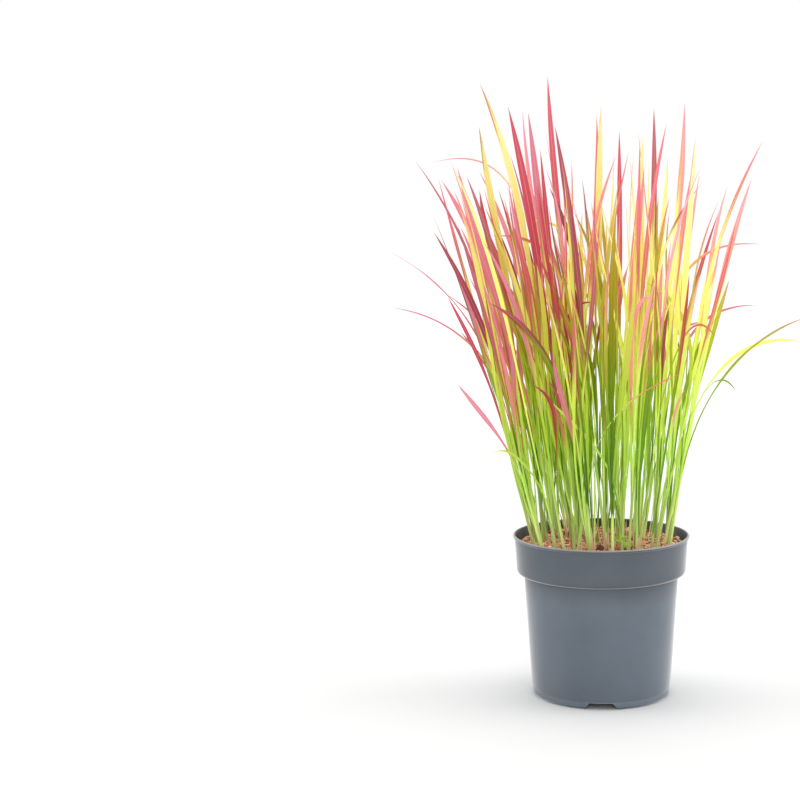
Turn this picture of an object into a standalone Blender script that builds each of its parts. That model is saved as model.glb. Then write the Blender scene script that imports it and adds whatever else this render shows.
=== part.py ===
"""Japanese blood grass growing in a round nursery pot.

Sizes are in millimetres and turned into metres when a mesh is made. The origin is on the
floor under the middle of the pot, +Z is up and the photograph looks along +Y.
The plant is made of leafy stems. Each is a short stem with a few flat pointed leaves, and
each stands in a plain hole in the soil. Leaves are drawn from a seeded rule, and a leaf that
would touch another stem's leaves is drawn again.
"""
import math
import random

import bmesh
import bpy
from mathutils import Quaternion, Vector
from mathutils.bvhtree import BVHTree

MM = 0.001

# Pot
POT_HEIGHT = 175.0
RIM_RADIUS = 95.0
LIP_RADIUS = 1.6
COLLAR_TOP_RADIUS = 92.9
COLLAR_LOW_RADIUS = 90.9
COLLAR_BOTTOM = 132.8
COLLAR_CORNER = 5.0
WALL_TOP_RADIUS = 82.8
WALL_LOW_RADIUS = 75.0
WALL = 1.7
FOOT_HEIGHT = 8.0
FOOT_RADIUS = 74.2
FOOT_INNER_RADIUS = 67.0
FOOT_STEP = 1.6
FOOT_CHAMFER = 2.6
FOOT_EDGE = 0.8
FLOOR_THICKNESS = 2.0
FLOOR_CORNER = 1.5
LIP_NECK = 0.4
POT_SEGMENTS = 44
NOTCHES = 4
NOTCH_BOTTOM_WIDTH = 36.0
NOTCH_TOP_WIDTH = 24.6
NOTCH_HEIGHT = 7.0
DRAIN_HOLES = 5
DRAIN_RADIUS = 6.0
DRAIN_CIRCLE = 42.0
DRAIN_SIDES = 16
CUT_MARGIN = 4.0

# Soil
SOIL_TOP = 163.0
SOIL_GAP = 0.4
SOIL_SEGMENTS = 24
SOIL_RINGS = 3
SOIL_RELIEF = 1.1
HOLE_GAP = 0.35
WELD = 0.002

# Leafy stems
SEED = 41
FEET_RADIUS = 80.0
FEET_SPACING = 10.5
FEET_SHIFT = (4.0, 18.0)
STEM_SIDES = 5
STEM_DEPTH = 14.0
STEM_WIDTH = 4.6
STEM_THICKNESS = 3.8
STEM_TAPER = 0.76
STEM_HEIGHT = (48.0, 118.0)
STEM_LEAN = 0.26
STEM_FOLLOW = 0.75
STEM_TURN = 0.6
DRAWS = 160

# Leaves. Leans are in millimetres across for each millimetre up, angles of tips in degrees.
LEAF_THICKNESS = 0.8
LEAF_ROOT_WIDTH = 2.7
LEAF_TWIST = 0.5
LEAF_CLEARANCE = 0.25
TIP_CROWDING = 1.35
SIDE_BOW = 0.018
ARCHED = 45.0
LEADING_START = (0.3, 0.9)
DEPTH_SHIFT = 14.0
COMPANIONS = 3
COMPANION_WIDTH = (4.2, 8.0)
COMPANION_TOPS = (300.0, 600.0, 470.0)
COMPANION_LEAN = (0.20, 0.17)
LEAN_SPREAD = 0.075
TURN_SPREAD = 9.0
ARCHED_SHARE = 0.12
ARCHED_TURN = (35.0, 75.0)
LOW_LEAVES = 0.55
LOW_START = (0.04, 0.25)
HIGH_START = (0.4, 0.95)
LOW_SPREAD = 0.09
REACH_X = 222.0
REACH_Y = 142.0

# Width of a leaf along its length, as parts of its widest place: slender from the stem up,
# widest at two thirds, and drawn to a point.
WIDTH_ALONG = ((0.0, 0.0), (0.34, 0.3), (0.66, 1.0), (0.84, 0.94), (0.94, 0.56), (1.0, 0.0))

TONES = {
    "crimson": (0.52, 0.045, 0.075),
    "pink": (0.80, 0.21, 0.26),
    "orange": (0.76, 0.30, 0.15),
    "gold": (0.80, 0.70, 0.22),
    "lime": (0.45, 0.60, 0.10),
}

# The leading leaf of every leafy stem: the place of its tip, how far the tip is turned from
# upright in degrees with right as plus, the foot of the stem across, the row of the foot
# with front as -1 and back as 1, the width of the leaf and its tone.
LEADING_LEAVES = (
    (-127, 20, 657, -24, -44, 1, 9.0, "gold"),
    (-128, -10, 612, -9, -52, 0, 9.5, "gold"),
    (-181, 30, 574, -105, -40, 1, 4.0, "orange"),
    (-172, 0, 558, -14, -66, 0, 7.0, "orange"),
    (-166, -20, 557, -33, -58, -1, 9.5, "pink"),
    (-152, 20, 569, -15, -60, 1, 8.5, "crimson"),
    (-130, 40, 565, -26, -34, 0, 7.0, "crimson"),
    (-126, -30, 546, -10, -38, -1, 9.0, "crimson"),
    (-177, 10, 501, -30, -68, 0, 8.0, "crimson"),
    (-226, 20, 480, -62, -74, 0, 7.0, "crimson"),
    (-172, 60, 431, -57, -52, 1, 5.0, "pink"),
    (-96, -20, 632, -15, -32, 0, 10.5, "crimson"),
    (-83, 30, 629, -8, -28, 1, 6.0, "pink"),
    (-75, -30, 626, -8, -24, -1, 10.0, "orange"),
    (-64, 40, 587, -5, -20, 1, 7.0, "pink"),
    (-55, 0, 663, -5, -14, 0, 8.0, "pink"),
    (-47, -30, 611, -11, -8, -1, 9.0, "crimson"),
    (-4, 20, 622, 8, -14, 1, 8.0, "pink"),
    (-53, -50, 548, -28, 8, -1, 8.5, "orange"),
    (-98, 60, 556, -10, -36, 1, 4.5, "pink"),
    (1, 0, 632, 1, 4, 0, 9.0, "gold"),
    (20, 30, 605, 1, 16, 1, 7.0, "pink"),
    (44, -20, 603, 5, 20, 0, 8.0, "gold"),
    (56, 10, 629, 5, 36, 0, 8.0, "orange"),
    (68, -30, 613, 10, 28, -1, 8.0, "crimson"),
    (45, -60, 568, 0, 22, -1, 8.5, "crimson"),
    (88, 20, 634, 6, 46, 1, 9.0, "pink"),
    (99, -20, 599, 4, 68, 0, 9.0, "orange"),
    (106, 50, 557, 5, 60, 1, 5.0, "crimson"),
    (92, -40, 557, 8, 50, -1, 7.0, "crimson"),
    (72, 60, 576, 6, 40, 1, 7.0, "gold"),
    (160, 20, 553, 20, 66, 0, 10.5, "pink"),
    (141, -20, 508, 15, 58, -1, 8.0, "crimson"),
    (170, 10, 484, 97, 44, 0, 5.5, "orange"),
    (170, 60, 416, 92, 52, 1, 5.5, "crimson"),
    (119, -60, 391, 150, 42, -1, 5.5, "orange"),
    (226, -10, 412, 78, 70, 0, 8.0, "pink"),
    (213, 30, 380, 100, 72, 1, 7.5, "orange"),
    (139, -80, 337, 140, 56, -1, 4.5, "gold"),
    (83, -110, 361, 68, -26, -1, 6.0, "orange"),
    (99, -60, 293, 34, 76, 0, 6.0, "lime"),
    (-226, -10, 423, -80, -72, 0, 5.0, "orange"),
    (-160, -40, 435, -25, -70, -1, 5.0, "crimson"),
    (-155, 70, 387, -45, -50, 1, 6.0, "pink"),
    (-149, -60, 346, -35, -64, -1, 6.5, "crimson"),
    (-118, -70, 267, -150, -46, -1, 6.0, "lime"),
    (-51, -80, 330, -50, 26, -1, 6.0, "lime"),
    (-5, -60, 430, 95, -30, -1, 6.0, "crimson"),
    (-111, -146, 437, -68, -16, -1, 9.0, "pink"),
    (30, 146, 452, 62, 6, 1, 8.0, "orange"),
    (-20, 60, 520, 3, -20, 1, 7.0, "gold"),
    (15, -40, 500, -6, 14, -1, 7.5, "gold"),
    (62, 40, 535, 8, 58, 1, 8.0, "gold"),
    (-66, -60, 470, -12, -54, -1, 7.0, "lime"),
    (38, -70, 440, 4, 38, -1, 7.0, "gold"),
    (-100, 40, 470, -16, -74, 0, 6.0, "lime"),
)
ROWS = {-1: (-78.0, -16.0), 0: (-36.0, 40.0), 1: (14.0, 78.0)}


def clear_objects():
    """Take away every object of the opening scene."""
    for ob in list(bpy.data.objects):
        bpy.data.objects.remove(ob, do_unlink=True)


def plain_material(name, colour, roughness, specular=0.5):
    """A Principled material with one colour."""
    mat = bpy.data.materials.get(name)
    if mat:
        return mat
    mat = bpy.data.materials.new(name)
    mat.use_nodes = True
    shader = mat.node_tree.nodes["Principled BSDF"]
    shader.inputs["Base Color"].default_value = (*colour, 1.0)
    shader.inputs["Roughness"].default_value = roughness
    shader.inputs["Specular IOR Level"].default_value = specular
    return mat


def mesh_object(name, points, faces, smooth=False):
    """An object at the origin from points in millimetres."""
    mesh = bpy.data.meshes.new(name)
    mesh.from_pydata([Vector(p) * MM for p in points], [], faces)
    mesh.validate()
    mesh.update()
    if smooth:
        mesh.shade_smooth()
    ob = bpy.data.objects.new(name, mesh)
    bpy.context.scene.collection.objects.link(ob)
    return ob


def apply_boolean(ob, cutters, operation, solver="EXACT"):
    """Join cutters to ob or cut them out of it, then remove them."""
    group = bpy.data.collections.new("operands")
    bpy.context.scene.collection.children.link(group)
    for cutter in cutters:
        group.objects.link(cutter)
        cutter.display_type = "WIRE"
        cutter.hide_render = True
    step = ob.modifiers.new("boolean", "BOOLEAN")
    step.operation = operation
    step.operand_type = "COLLECTION"
    step.collection = group
    step.solver = solver
    bpy.context.view_layer.update()
    seen = bpy.context.evaluated_depsgraph_get()
    result = bpy.data.meshes.new_from_object(ob.evaluated_get(seen))
    ob.modifiers.clear()
    ob.data = result
    for cutter in cutters:
        bpy.data.objects.remove(cutter, do_unlink=True)
    bpy.data.collections.remove(group)


def turned(profile, segments):
    """Points and faces of a closed outline of (radius, height) turned about Z."""
    count = len(profile)
    points = []
    for i in range(segments):
        a = 2.0 * math.pi * i / segments
        points += [(r * math.cos(a), r * math.sin(a), z) for r, z in profile]
    faces = []
    for i in range(segments):
        here, there = i * count, (i + 1) % segments * count
        for j in range(count):
            k = (j + 1) % count
            faces.append((here + j, here + k, there + k, there + j))
    return points, faces


def arc(centre_r, centre_z, radius, start, end, steps):
    """Points on an arc in the outline plane, with angles in degrees from +radius."""
    out = []
    for i in range(steps + 1):
        a = math.radians(start + (end - start) * i / steps)
        out.append((centre_r + radius * math.cos(a), centre_z + radius * math.sin(a)))
    return out


def inner_radius(z):
    """Radius of the inside of the collar at height z."""
    low, high = COLLAR_BOTTOM + COLLAR_CORNER, POT_HEIGHT
    part = (z - low) / (high - low)
    return COLLAR_LOW_RADIUS + (COLLAR_TOP_RADIUS - COLLAR_LOW_RADIUS) * part - WALL


def pot_profile():
    """Closed outline of the pot wall, from the lip down the outside and up the inside."""
    lip_z = POT_HEIGHT - LIP_RADIUS
    lip_r = RIM_RADIUS - LIP_RADIUS
    corner = COLLAR_BOTTOM + COLLAR_CORNER
    out = arc(lip_r, lip_z, LIP_RADIUS, 90.0, -60.0, 4)
    out.append((COLLAR_TOP_RADIUS, lip_z - LIP_RADIUS - LIP_NECK))
    out += arc(COLLAR_LOW_RADIUS - COLLAR_CORNER, corner, COLLAR_CORNER, 0.0, -75.0, 3)
    out.append((WALL_TOP_RADIUS, COLLAR_BOTTOM))
    out.append((WALL_LOW_RADIUS, FOOT_HEIGHT + FOOT_STEP))
    out.append((FOOT_RADIUS - FOOT_EDGE, FOOT_HEIGHT))
    out.append((FOOT_RADIUS, FOOT_HEIGHT - FOOT_STEP))
    out.append((FOOT_RADIUS - FOOT_EDGE / 2.0, FOOT_CHAMFER))
    out.append((FOOT_RADIUS - FOOT_CHAMFER, 0.0))
    out.append((FOOT_INNER_RADIUS, 0.0))
    out.append((FOOT_INNER_RADIUS - FOOT_EDGE, FOOT_HEIGHT))
    return out


def inner_outline():
    """Outline of the pot's inside, from the floor up to the collar."""
    floor_top = FOOT_HEIGHT + FLOOR_THICKNESS
    collar = inner_radius(COLLAR_BOTTOM + COLLAR_CORNER)
    return [
        (WALL_LOW_RADIUS - WALL - FLOOR_CORNER, floor_top),
        (WALL_LOW_RADIUS - WALL, floor_top + FLOOR_CORNER),
        (WALL_TOP_RADIUS - WALL, COLLAR_BOTTOM + WALL),
        (collar - WALL, COLLAR_BOTTOM + 1.5 * WALL),
        (collar, COLLAR_BOTTOM + 3.0 * WALL),
    ]


def make_pot():
    """The pot, with a raised floor, drain holes and notches through the foot ring."""
    outer = pot_profile()
    neck = POT_HEIGHT - 1.6 * LIP_RADIUS
    inside = inner_outline() + [
        (inner_radius(neck), neck),
        (RIM_RADIUS - 2.0 * LIP_RADIUS, POT_HEIGHT - LIP_RADIUS),
        (RIM_RADIUS - 1.7 * LIP_RADIUS, POT_HEIGHT - 0.3 * LIP_RADIUS),
    ]
    middle = [(1.0, FOOT_HEIGHT), (1.0, FOOT_HEIGHT + FLOOR_THICKNESS)]
    profile = outer + middle + inside
    points, faces = turned(profile, POT_SEGMENTS)
    count = len(profile)
    under, over = len(outer), len(outer) + 1
    # The middle of the floor is closed by two small round faces, not left as a hole.
    faces = [f for f in faces if {f[0] % count, f[1] % count} != {under, over}]
    faces.append([i * count + under for i in range(POT_SEGMENTS)][::-1])
    faces.append([i * count + over for i in range(POT_SEGMENTS)])
    pot = mesh_object("pot", points, faces, smooth=True)
    face_out(pot)
    cutters = [notch_cutter(i) for i in range(NOTCHES)]
    cutters += [drain_cutter(i) for i in range(DRAIN_HOLES)]
    apply_boolean(pot, cutters, "DIFFERENCE")
    pot.data.materials.clear()
    pot.data.materials.append(plain_material("pot_plastic", (0.115, 0.135, 0.155), 0.5))
    tidy_solid(pot)
    return pot


def notch_cutter(index):
    """A wedge that cuts one drain notch through the foot ring."""
    a = math.radians(-90.0 + 360.0 * index / NOTCHES)
    across = Vector((-math.sin(a), math.cos(a), 0.0))
    along = Vector((math.cos(a), math.sin(a), 0.0))
    high = NOTCH_TOP_WIDTH / 2.0
    flare = (NOTCH_BOTTOM_WIDTH - NOTCH_TOP_WIDTH) / 2.0 / NOTCH_HEIGHT
    low = NOTCH_BOTTOM_WIDTH / 2.0 + flare * CUT_MARGIN
    shape = ((-low, -CUT_MARGIN), (low, -CUT_MARGIN), (high, NOTCH_HEIGHT),
             (-high, NOTCH_HEIGHT))
    points = []
    for reach in (FOOT_INNER_RADIUS - 3.0 * CUT_MARGIN, FOOT_RADIUS + CUT_MARGIN):
        for s, z in shape:
            points.append(along * reach + across * s + Vector((0.0, 0.0, z)))
    faces = [(0, 1, 2, 3), (7, 6, 5, 4)]
    faces += [(i, i + 4, (i + 1) % 4 + 4, (i + 1) % 4) for i in range(4)]
    ob = mesh_object("notch", points, faces)
    face_out(ob)
    return ob


def drain_cutter(index):
    """A round bar that cuts one drain hole in the floor."""
    a = 2.0 * math.pi * (index + 0.5) / DRAIN_HOLES
    cx, cy = DRAIN_CIRCLE * math.cos(a), DRAIN_CIRCLE * math.sin(a)
    n = DRAIN_SIDES
    points = []
    for z in (FOOT_HEIGHT - CUT_MARGIN, FOOT_HEIGHT + FLOOR_THICKNESS + CUT_MARGIN):
        for i in range(n):
            b = 2.0 * math.pi * i / n
            points.append((cx + DRAIN_RADIUS * math.cos(b), cy + DRAIN_RADIUS * math.sin(b), z))
    faces = [tuple(range(n))[::-1], tuple(range(n, 2 * n))]
    faces += [(i, (i + 1) % n, (i + 1) % n + n, i + n) for i in range(n)]
    ob = mesh_object("drain", points, faces)
    face_out(ob)
    return ob


def face_out(ob):
    """Turn all faces outward."""
    bm = bmesh.new()
    bm.from_mesh(ob.data)
    bmesh.ops.recalc_face_normals(bm, faces=bm.faces)
    bm.to_mesh(ob.data)
    bm.free()


def tidy_solid(ob):
    """Split faces into triangles, close tiny edges, and keep only the main outer shell."""
    bm = bmesh.new()
    bm.from_mesh(ob.data)
    bmesh.ops.triangulate(bm, faces=bm.faces)
    bmesh.ops.remove_doubles(bm, verts=bm.verts, dist=WELD * MM)
    shells = shells_of(bm)
    shells.sort(key=len, reverse=True)
    spare = [face for shell in shells[1:] for face in shell]
    bmesh.ops.delete(bm, geom=spare, context="FACES")
    whole = all(len(edge.link_faces) == 2 for edge in bm.edges)
    bmesh.ops.recalc_face_normals(bm, faces=bm.faces)
    bm.to_mesh(ob.data)
    bm.free()
    return whole


def shells_of(bm):
    """The faces of each skin, counted as separate where skins meet in a point only."""
    left = set(bm.faces)
    shells = []
    while left:
        start = left.pop()
        shell, front = [start], [start]
        while front:
            face = front.pop()
            for edge in face.edges:
                for other in edge.link_faces:
                    if other in left:
                        left.remove(other)
                        shell.append(other)
                        front.append(other)
        shells.append(shell)
    return shells


def width_part(t):
    """Width at t along a leaf, as a part of the widest place, from root to tip."""
    for (a, wa), (b, wb) in zip(WIDTH_ALONG, WIDTH_ALONG[1:]):
        if t <= b:
            s = (t - a) / (b - a)
            s = s * s * (3.0 - 2.0 * s)
            return wa + (wb - wa) * s
    return WIDTH_ALONG[-1][1]


def curve_point(leaf, t):
    """Point and heading at t on a leaf's middle line."""
    p0, p1, p2, p3 = leaf["line"]
    u = 1.0 - t
    place = p0 * u**3 + p1 * (3.0 * u * u * t) + p2 * (3.0 * u * t * t) + p3 * t**3
    heading = (p1 - p0) * u * u + (p2 - p1) * (2.0 * u * t) + (p3 - p2) * t * t
    return place, heading.normalized()


def leaf_frames(leaf, count):
    """(t, place, across, heading) at places that crowd toward the tip, without roll."""
    frames = []
    across, last = leaf["across"], None
    for i in range(count + 1):
        t = 1.0 - (1.0 - i / count) ** TIP_CROWDING
        place, heading = curve_point(leaf, t)
        if last is not None:
            across = last.rotation_difference(heading) @ across
        across = (across - heading * across.dot(heading)).normalized()
        last = heading
        turned_across = Quaternion(heading, leaf["twist"] * t) @ across
        frames.append((t, place, turned_across, heading))
    return frames


def leaf_mesh(leaf, segments, grow=0.0):
    """Points and faces of one flat leaf as a thin closed slab that ends in a point."""
    points, faces = [], []
    half_thick = LEAF_THICKNESS / 2.0 + grow
    frames = leaf_frames(leaf, segments)
    for t, place, across, heading in frames[:-1]:
        width = LEAF_ROOT_WIDTH + (leaf["width"] - LEAF_ROOT_WIDTH) * width_part(t)
        if t > 0.5:
            width = leaf["width"] * width_part(t)
        half = width / 2.0 + grow
        face = across.cross(heading)
        for side, lift in ((-1, -1), (1, -1), (1, 1), (-1, 1)):
            points.append(place + across * (side * half) + face * (lift * half_thick))
    tip = len(points)
    points.append(frames[-1][1] + frames[-1][3] * grow)
    faces.append((3, 2, 1))
    faces.append((3, 1, 0))
    for i in range(segments - 1):
        a, b = 4 * i, 4 * i + 4
        # Both broad faces are split along the same diagonal, so a twisted leaf stays whole.
        faces += [(a, a + 1, b + 1), (a, b + 1, b)]
        faces += [(a + 3, b + 2, a + 2), (a + 3, b + 3, b + 2)]
        faces += [(a + 1, a + 2, b + 2), (a + 1, b + 2, b + 1)]
        faces += [(a, b, b + 3), (a, b + 3, a + 3)]
    last = 4 * (segments - 1)
    faces += [(last + j, last + (j + 1) % 4, tip) for j in range(4)]
    return points, faces


def stem_mesh(stem, grow=0.0, sunk=0.0):
    """Points and faces of a stem as a slightly flattened tapered prism."""
    points = []
    along = (stem["top"] - stem["foot"]).normalized()
    across = Vector((math.cos(stem["turn"]), math.sin(stem["turn"]), 0.0))
    across = (across - along * across.dot(along)).normalized()
    face = across.cross(along)
    low = stem["foot"] - along * sunk
    for centre, scale in ((low, 1.0), (stem["top"] + along * grow, STEM_TAPER)):
        for i in range(STEM_SIDES):
            a = 2.0 * math.pi * i / STEM_SIDES
            w = (STEM_WIDTH / 2.0 * scale + grow) * math.cos(a)
            d = (STEM_THICKNESS / 2.0 * scale + grow) * math.sin(a)
            points.append(centre + across * w + face * d)
    n = STEM_SIDES
    faces = [tuple(range(n))[::-1], tuple(range(n, 2 * n))]
    faces += [(i, (i + 1) % n, (i + 1) % n + n, i + n) for i in range(n)]
    return points, faces


def segments_of(leaf):
    """More segments for a leaf that bends more."""
    start, end = curve_point(leaf, 0.0)[1], curve_point(leaf, 1.0)[1]
    bend = math.degrees(start.angle(end)) + math.degrees(abs(leaf["twist"])) * 0.4
    return max(3, min(7, 3 + int(bend / 24.0)))


def draw_foot(rng, row, stems, draw):
    """A foot for a stem on the soil, or None where another is too near."""
    low, high = ROWS[row[5]]
    least, most = FEET_SHIFT
    spread = least + (most - least) * draw / DRAWS
    foot = Vector((row[4] + rng.uniform(-spread, spread), rng.uniform(low, high), SOIL_TOP))
    if math.hypot(foot.x, foot.y) > FEET_RADIUS:
        return None
    if any((foot - stem["foot"]).length < FEET_SPACING for stem in stems):
        return None
    return foot


def make_leaf(rng, start, along, tip, turn, width, facing):
    """A leaf from start along a stem to tip, its tip turned from upright by turn."""
    flat = Vector((tip.x - start.x, tip.y - start.y, 0.0))
    away = flat.normalized() if flat.length > 1.0 else Vector((1.0, 0.0, 0.0))
    sign = 1.0 if turn * away.x >= 0.0 else -1.0
    swing = math.radians(abs(turn))
    heading = away * (sign * math.sin(swing)) + Vector((0.0, 0.0, math.cos(swing)))
    reach = (tip - start).length
    pull = 0.30 + 0.10 * min(1.0, swing / 1.6)
    bow = [Vector((rng.gauss(0.0, 1.0), rng.gauss(0.0, 1.0), 0.0)) * reach * SIDE_BOW
           for _ in range(2)]
    line = (start, start + along * reach * 0.42 + bow[0],
            tip - heading * reach * pull + bow[1], tip)
    across = Vector((math.cos(facing), math.sin(facing), 0.0))
    return {"line": line, "width": width, "across": across,
            "twist": rng.uniform(-LEAF_TWIST, LEAF_TWIST)}


def leading_leaf(rng, row, stem):
    """The leaf that the table gives for a stem, with its depth drawn nearby."""
    shift = rng.uniform(-DEPTH_SHIFT, DEPTH_SHIFT) if abs(row[1]) < REACH_Y else 0.0
    tip = Vector((row[0], row[1] + shift, row[2]))
    along = (stem["top"] - stem["foot"]).normalized()
    start = stem["foot"].lerp(stem["top"], rng.uniform(*LEADING_START))
    facing = rng.uniform(-0.5, 0.5)
    if abs(row[3]) > ARCHED:
        away = math.atan2(tip.y - start.y, tip.x - start.x)
        facing = away + math.pi / 2.0 + rng.choice((-0.6, 0.6))
    return make_leaf(rng, start, along, tip, row[3], row[6], facing)


def companion_leaf(rng, row, stem):
    """A further leaf of a stem, drawn by rule around the way the stem leans."""
    foot = stem["foot"]
    along = (stem["top"] - foot).normalized()
    low = rng.random() < LOW_LEAVES
    start = foot.lerp(stem["top"], rng.uniform(*(LOW_START if low else HIGH_START)))
    if low:
        side = Vector((rng.gauss(0.0, LOW_SPREAD), rng.gauss(0.0, LOW_SPREAD), 0.0))
        along = (along + side).normalized()
    height = rng.triangular(*COMPANION_TOPS)
    rise = height - start.z
    lean_x = foot.x / FEET_RADIUS * COMPANION_LEAN[0] - 0.05 + rng.gauss(0.0, LEAN_SPREAD)
    lean_y = foot.y / FEET_RADIUS * COMPANION_LEAN[1] + rng.gauss(0.0, LEAN_SPREAD)
    tip = Vector((start.x + lean_x * rise, start.y + lean_y * rise, height))
    tip.x = max(-REACH_X, min(REACH_X, tip.x))
    tip.y = max(-REACH_Y, min(REACH_Y, tip.y))
    lean = math.degrees(math.atan(math.hypot(lean_x, lean_y)))
    turn = lean * 1.3 + abs(rng.gauss(0.0, TURN_SPREAD))
    if rng.random() < ARCHED_SHARE:
        turn += rng.uniform(*ARCHED_TURN)
    turn = math.copysign(turn, lean_x)
    facing = rng.uniform(-0.9, 0.9)
    return make_leaf(rng, start, along, tip, turn, rng.uniform(*COMPANION_WIDTH), facing)


def make_stem(rng, row, foot):
    """A stem that rises from foot toward its leading leaf."""
    rise = row[2] - SOIL_TOP
    slope_x = max(-STEM_LEAN, min(STEM_LEAN, (row[0] - foot.x) / rise * STEM_FOLLOW))
    if abs(row[3]) > ARCHED:
        slope_x *= 0.55
    slope_y = foot.y / FEET_RADIUS * 0.10 + rng.uniform(-0.03, 0.03)
    height = rng.uniform(*STEM_HEIGHT)
    top = foot + Vector((slope_x * height, slope_y * height, height))
    return {"foot": foot, "top": top, "turn": rng.uniform(-STEM_TURN, STEM_TURN),
            "leaves": [], "tone": row[7]}


def as_tree(points, faces):
    """A search tree over one piece."""
    return BVHTree.FromPolygons([Vector(p) for p in points], faces)


def is_clear(tree, trees, own):
    """True when tree touches none of the trees of other stems."""
    for number, others in trees.items():
        if number != own and any(tree.overlap(other) for other in others):
            return False
    return True


def grow_stems():
    """All leafy stems, each clear of the others."""
    rng = random.Random(SEED)
    stems, trees, blades = [], {}, {}
    for number, row in enumerate(LEADING_LEAVES):
        for draw in range(DRAWS):
            foot = draw_foot(rng, row, stems, draw)
            if foot is None:
                continue
            stem = make_stem(rng, row, foot)
            tree = as_tree(*stem_mesh(stem, LEAF_CLEARANCE))
            if is_clear(tree, trees, number):
                break
        else:
            raise RuntimeError(f"stem {number} finds no clear way")
        stems.append(stem)
        trees[number] = [tree]
        blades[number] = []
    for turn in range(1 + COMPANIONS):
        rule = leading_leaf if turn == 0 else companion_leaf
        for number, (row, stem) in enumerate(zip(LEADING_LEAVES, stems)):
            for _ in range(DRAWS):
                leaf = rule(rng, row, stem)
                count = segments_of(leaf)
                points, faces = leaf_mesh(leaf, count, LEAF_CLEARANCE)
                outer = [f for f in faces if min(f) >= 4 * (count // 3)]
                tree, blade = as_tree(points, faces), as_tree(points, outer)
                if any(blade.overlap(other) for other in blades[number]):
                    continue
                if is_clear(tree, trees, number):
                    stem["leaves"].append(leaf)
                    trees[number].append(tree)
                    blades[number].append(blade)
                    break
    return stems


def make_leafy_stem(number, stem):
    """One leafy stem as a single solid: the stem joined with its leaves."""
    name = f"tiller_{number + 1:02d}"
    for solver in ("EXACT", "MANIFOLD"):
        ob = join_leaves(name, stem, solver)
        if tidy_solid(ob):
            return ob
        bpy.data.objects.remove(ob, do_unlink=True)
    raise RuntimeError(f"{name} does not join into one closed solid")


def join_leaves(name, stem, solver):
    """A stem and its leaves joined by one Boolean union."""
    ob = mesh_object(name, *stem_mesh(stem, sunk=STEM_DEPTH))
    face_out(ob)
    pieces = []
    for leaf in stem["leaves"]:
        piece = mesh_object("leaf", *leaf_mesh(leaf, segments_of(leaf)))
        face_out(piece)
        pieces.append(piece)
    apply_boolean(ob, pieces, "UNION", solver)
    ob.data.materials.clear()
    ob.data.materials.append(plain_material("leaf_" + stem["tone"], TONES[stem["tone"]], 0.55))
    return ob


def soil_height(x, y):
    """Height of the soil: low crumbly waves."""
    waves = math.sin(x * 0.31 + 1.3) * math.cos(y * 0.27 + 0.4)
    waves += 0.6 * math.sin(x * 0.13 - y * 0.21 + 2.1)
    return SOIL_TOP + SOIL_RELIEF * waves


def make_soil(stems):
    """The soil that fills the pot, with a plain hole for each stem."""
    sides = [(r - SOIL_GAP, z + SOIL_GAP) for r, z in inner_outline()]
    sides.append((inner_radius(SOIL_TOP) - SOIL_GAP, SOIL_TOP - SOIL_GAP))
    n = SOIL_SEGMENTS
    inside = math.cos(math.pi / POT_SEGMENTS)
    points, faces = [], []
    for r, z in sides:
        for i in range(n):
            a = 2.0 * math.pi * i / n
            points.append((r * inside * math.cos(a), r * inside * math.sin(a), z))
    top_r = sides[-1][0] * inside
    for ring in range(1, SOIL_RINGS):
        r = top_r * (1.0 - ring / SOIL_RINGS)
        for i in range(n):
            a = 2.0 * math.pi * i / n
            x, y = r * math.cos(a), r * math.sin(a)
            points.append((x, y, soil_height(x, y)))
    points.append((0.0, 0.0, soil_height(0.0, 0.0)))
    rings = len(sides) + SOIL_RINGS - 1
    for ring in range(rings - 1):
        for i in range(n):
            a, b = ring * n, (ring + 1) * n
            j = (i + 1) % n
            faces.append((a + i, a + j, b + j, b + i))
    last = (rings - 1) * n
    faces += [(last + i, last + (i + 1) % n, rings * n) for i in range(n)]
    faces.append(tuple(range(n))[::-1])
    soil = mesh_object("soil", points, faces)
    face_out(soil)
    holes = []
    for stem in stems:
        hole = mesh_object("hole", *stem_mesh(stem, HOLE_GAP, STEM_DEPTH + HOLE_GAP))
        face_out(hole)
        holes.append(hole)
    apply_boolean(soil, holes, "DIFFERENCE")
    soil.data.materials.clear()
    soil.data.materials.append(plain_material("bark_soil", (0.26, 0.12, 0.07), 0.9))
    tidy_solid(soil)
    return soil


def main():
    """Make the pot, the leafy stems and the soil around them."""
    clear_objects()
    make_pot()
    stems = grow_stems()
    for number, stem in enumerate(stems):
        make_leafy_stem(number, stem)
    make_soil(stems)


main()
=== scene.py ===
"""Japanese blood grass in its nursery pot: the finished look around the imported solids.

Leafy stems follow the same seeded rule as the solids, so each fine leaf lies where its
solid leaf lies. The rule works in millimetres and meshes are made in metres.
"""
import math
import random

import bmesh
import bpy
from bpy.props import FloatProperty, FloatVectorProperty, IntProperty, PointerProperty
from mathutils import Matrix, Quaternion, Vector
from mathutils.bvhtree import BVHTree


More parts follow.
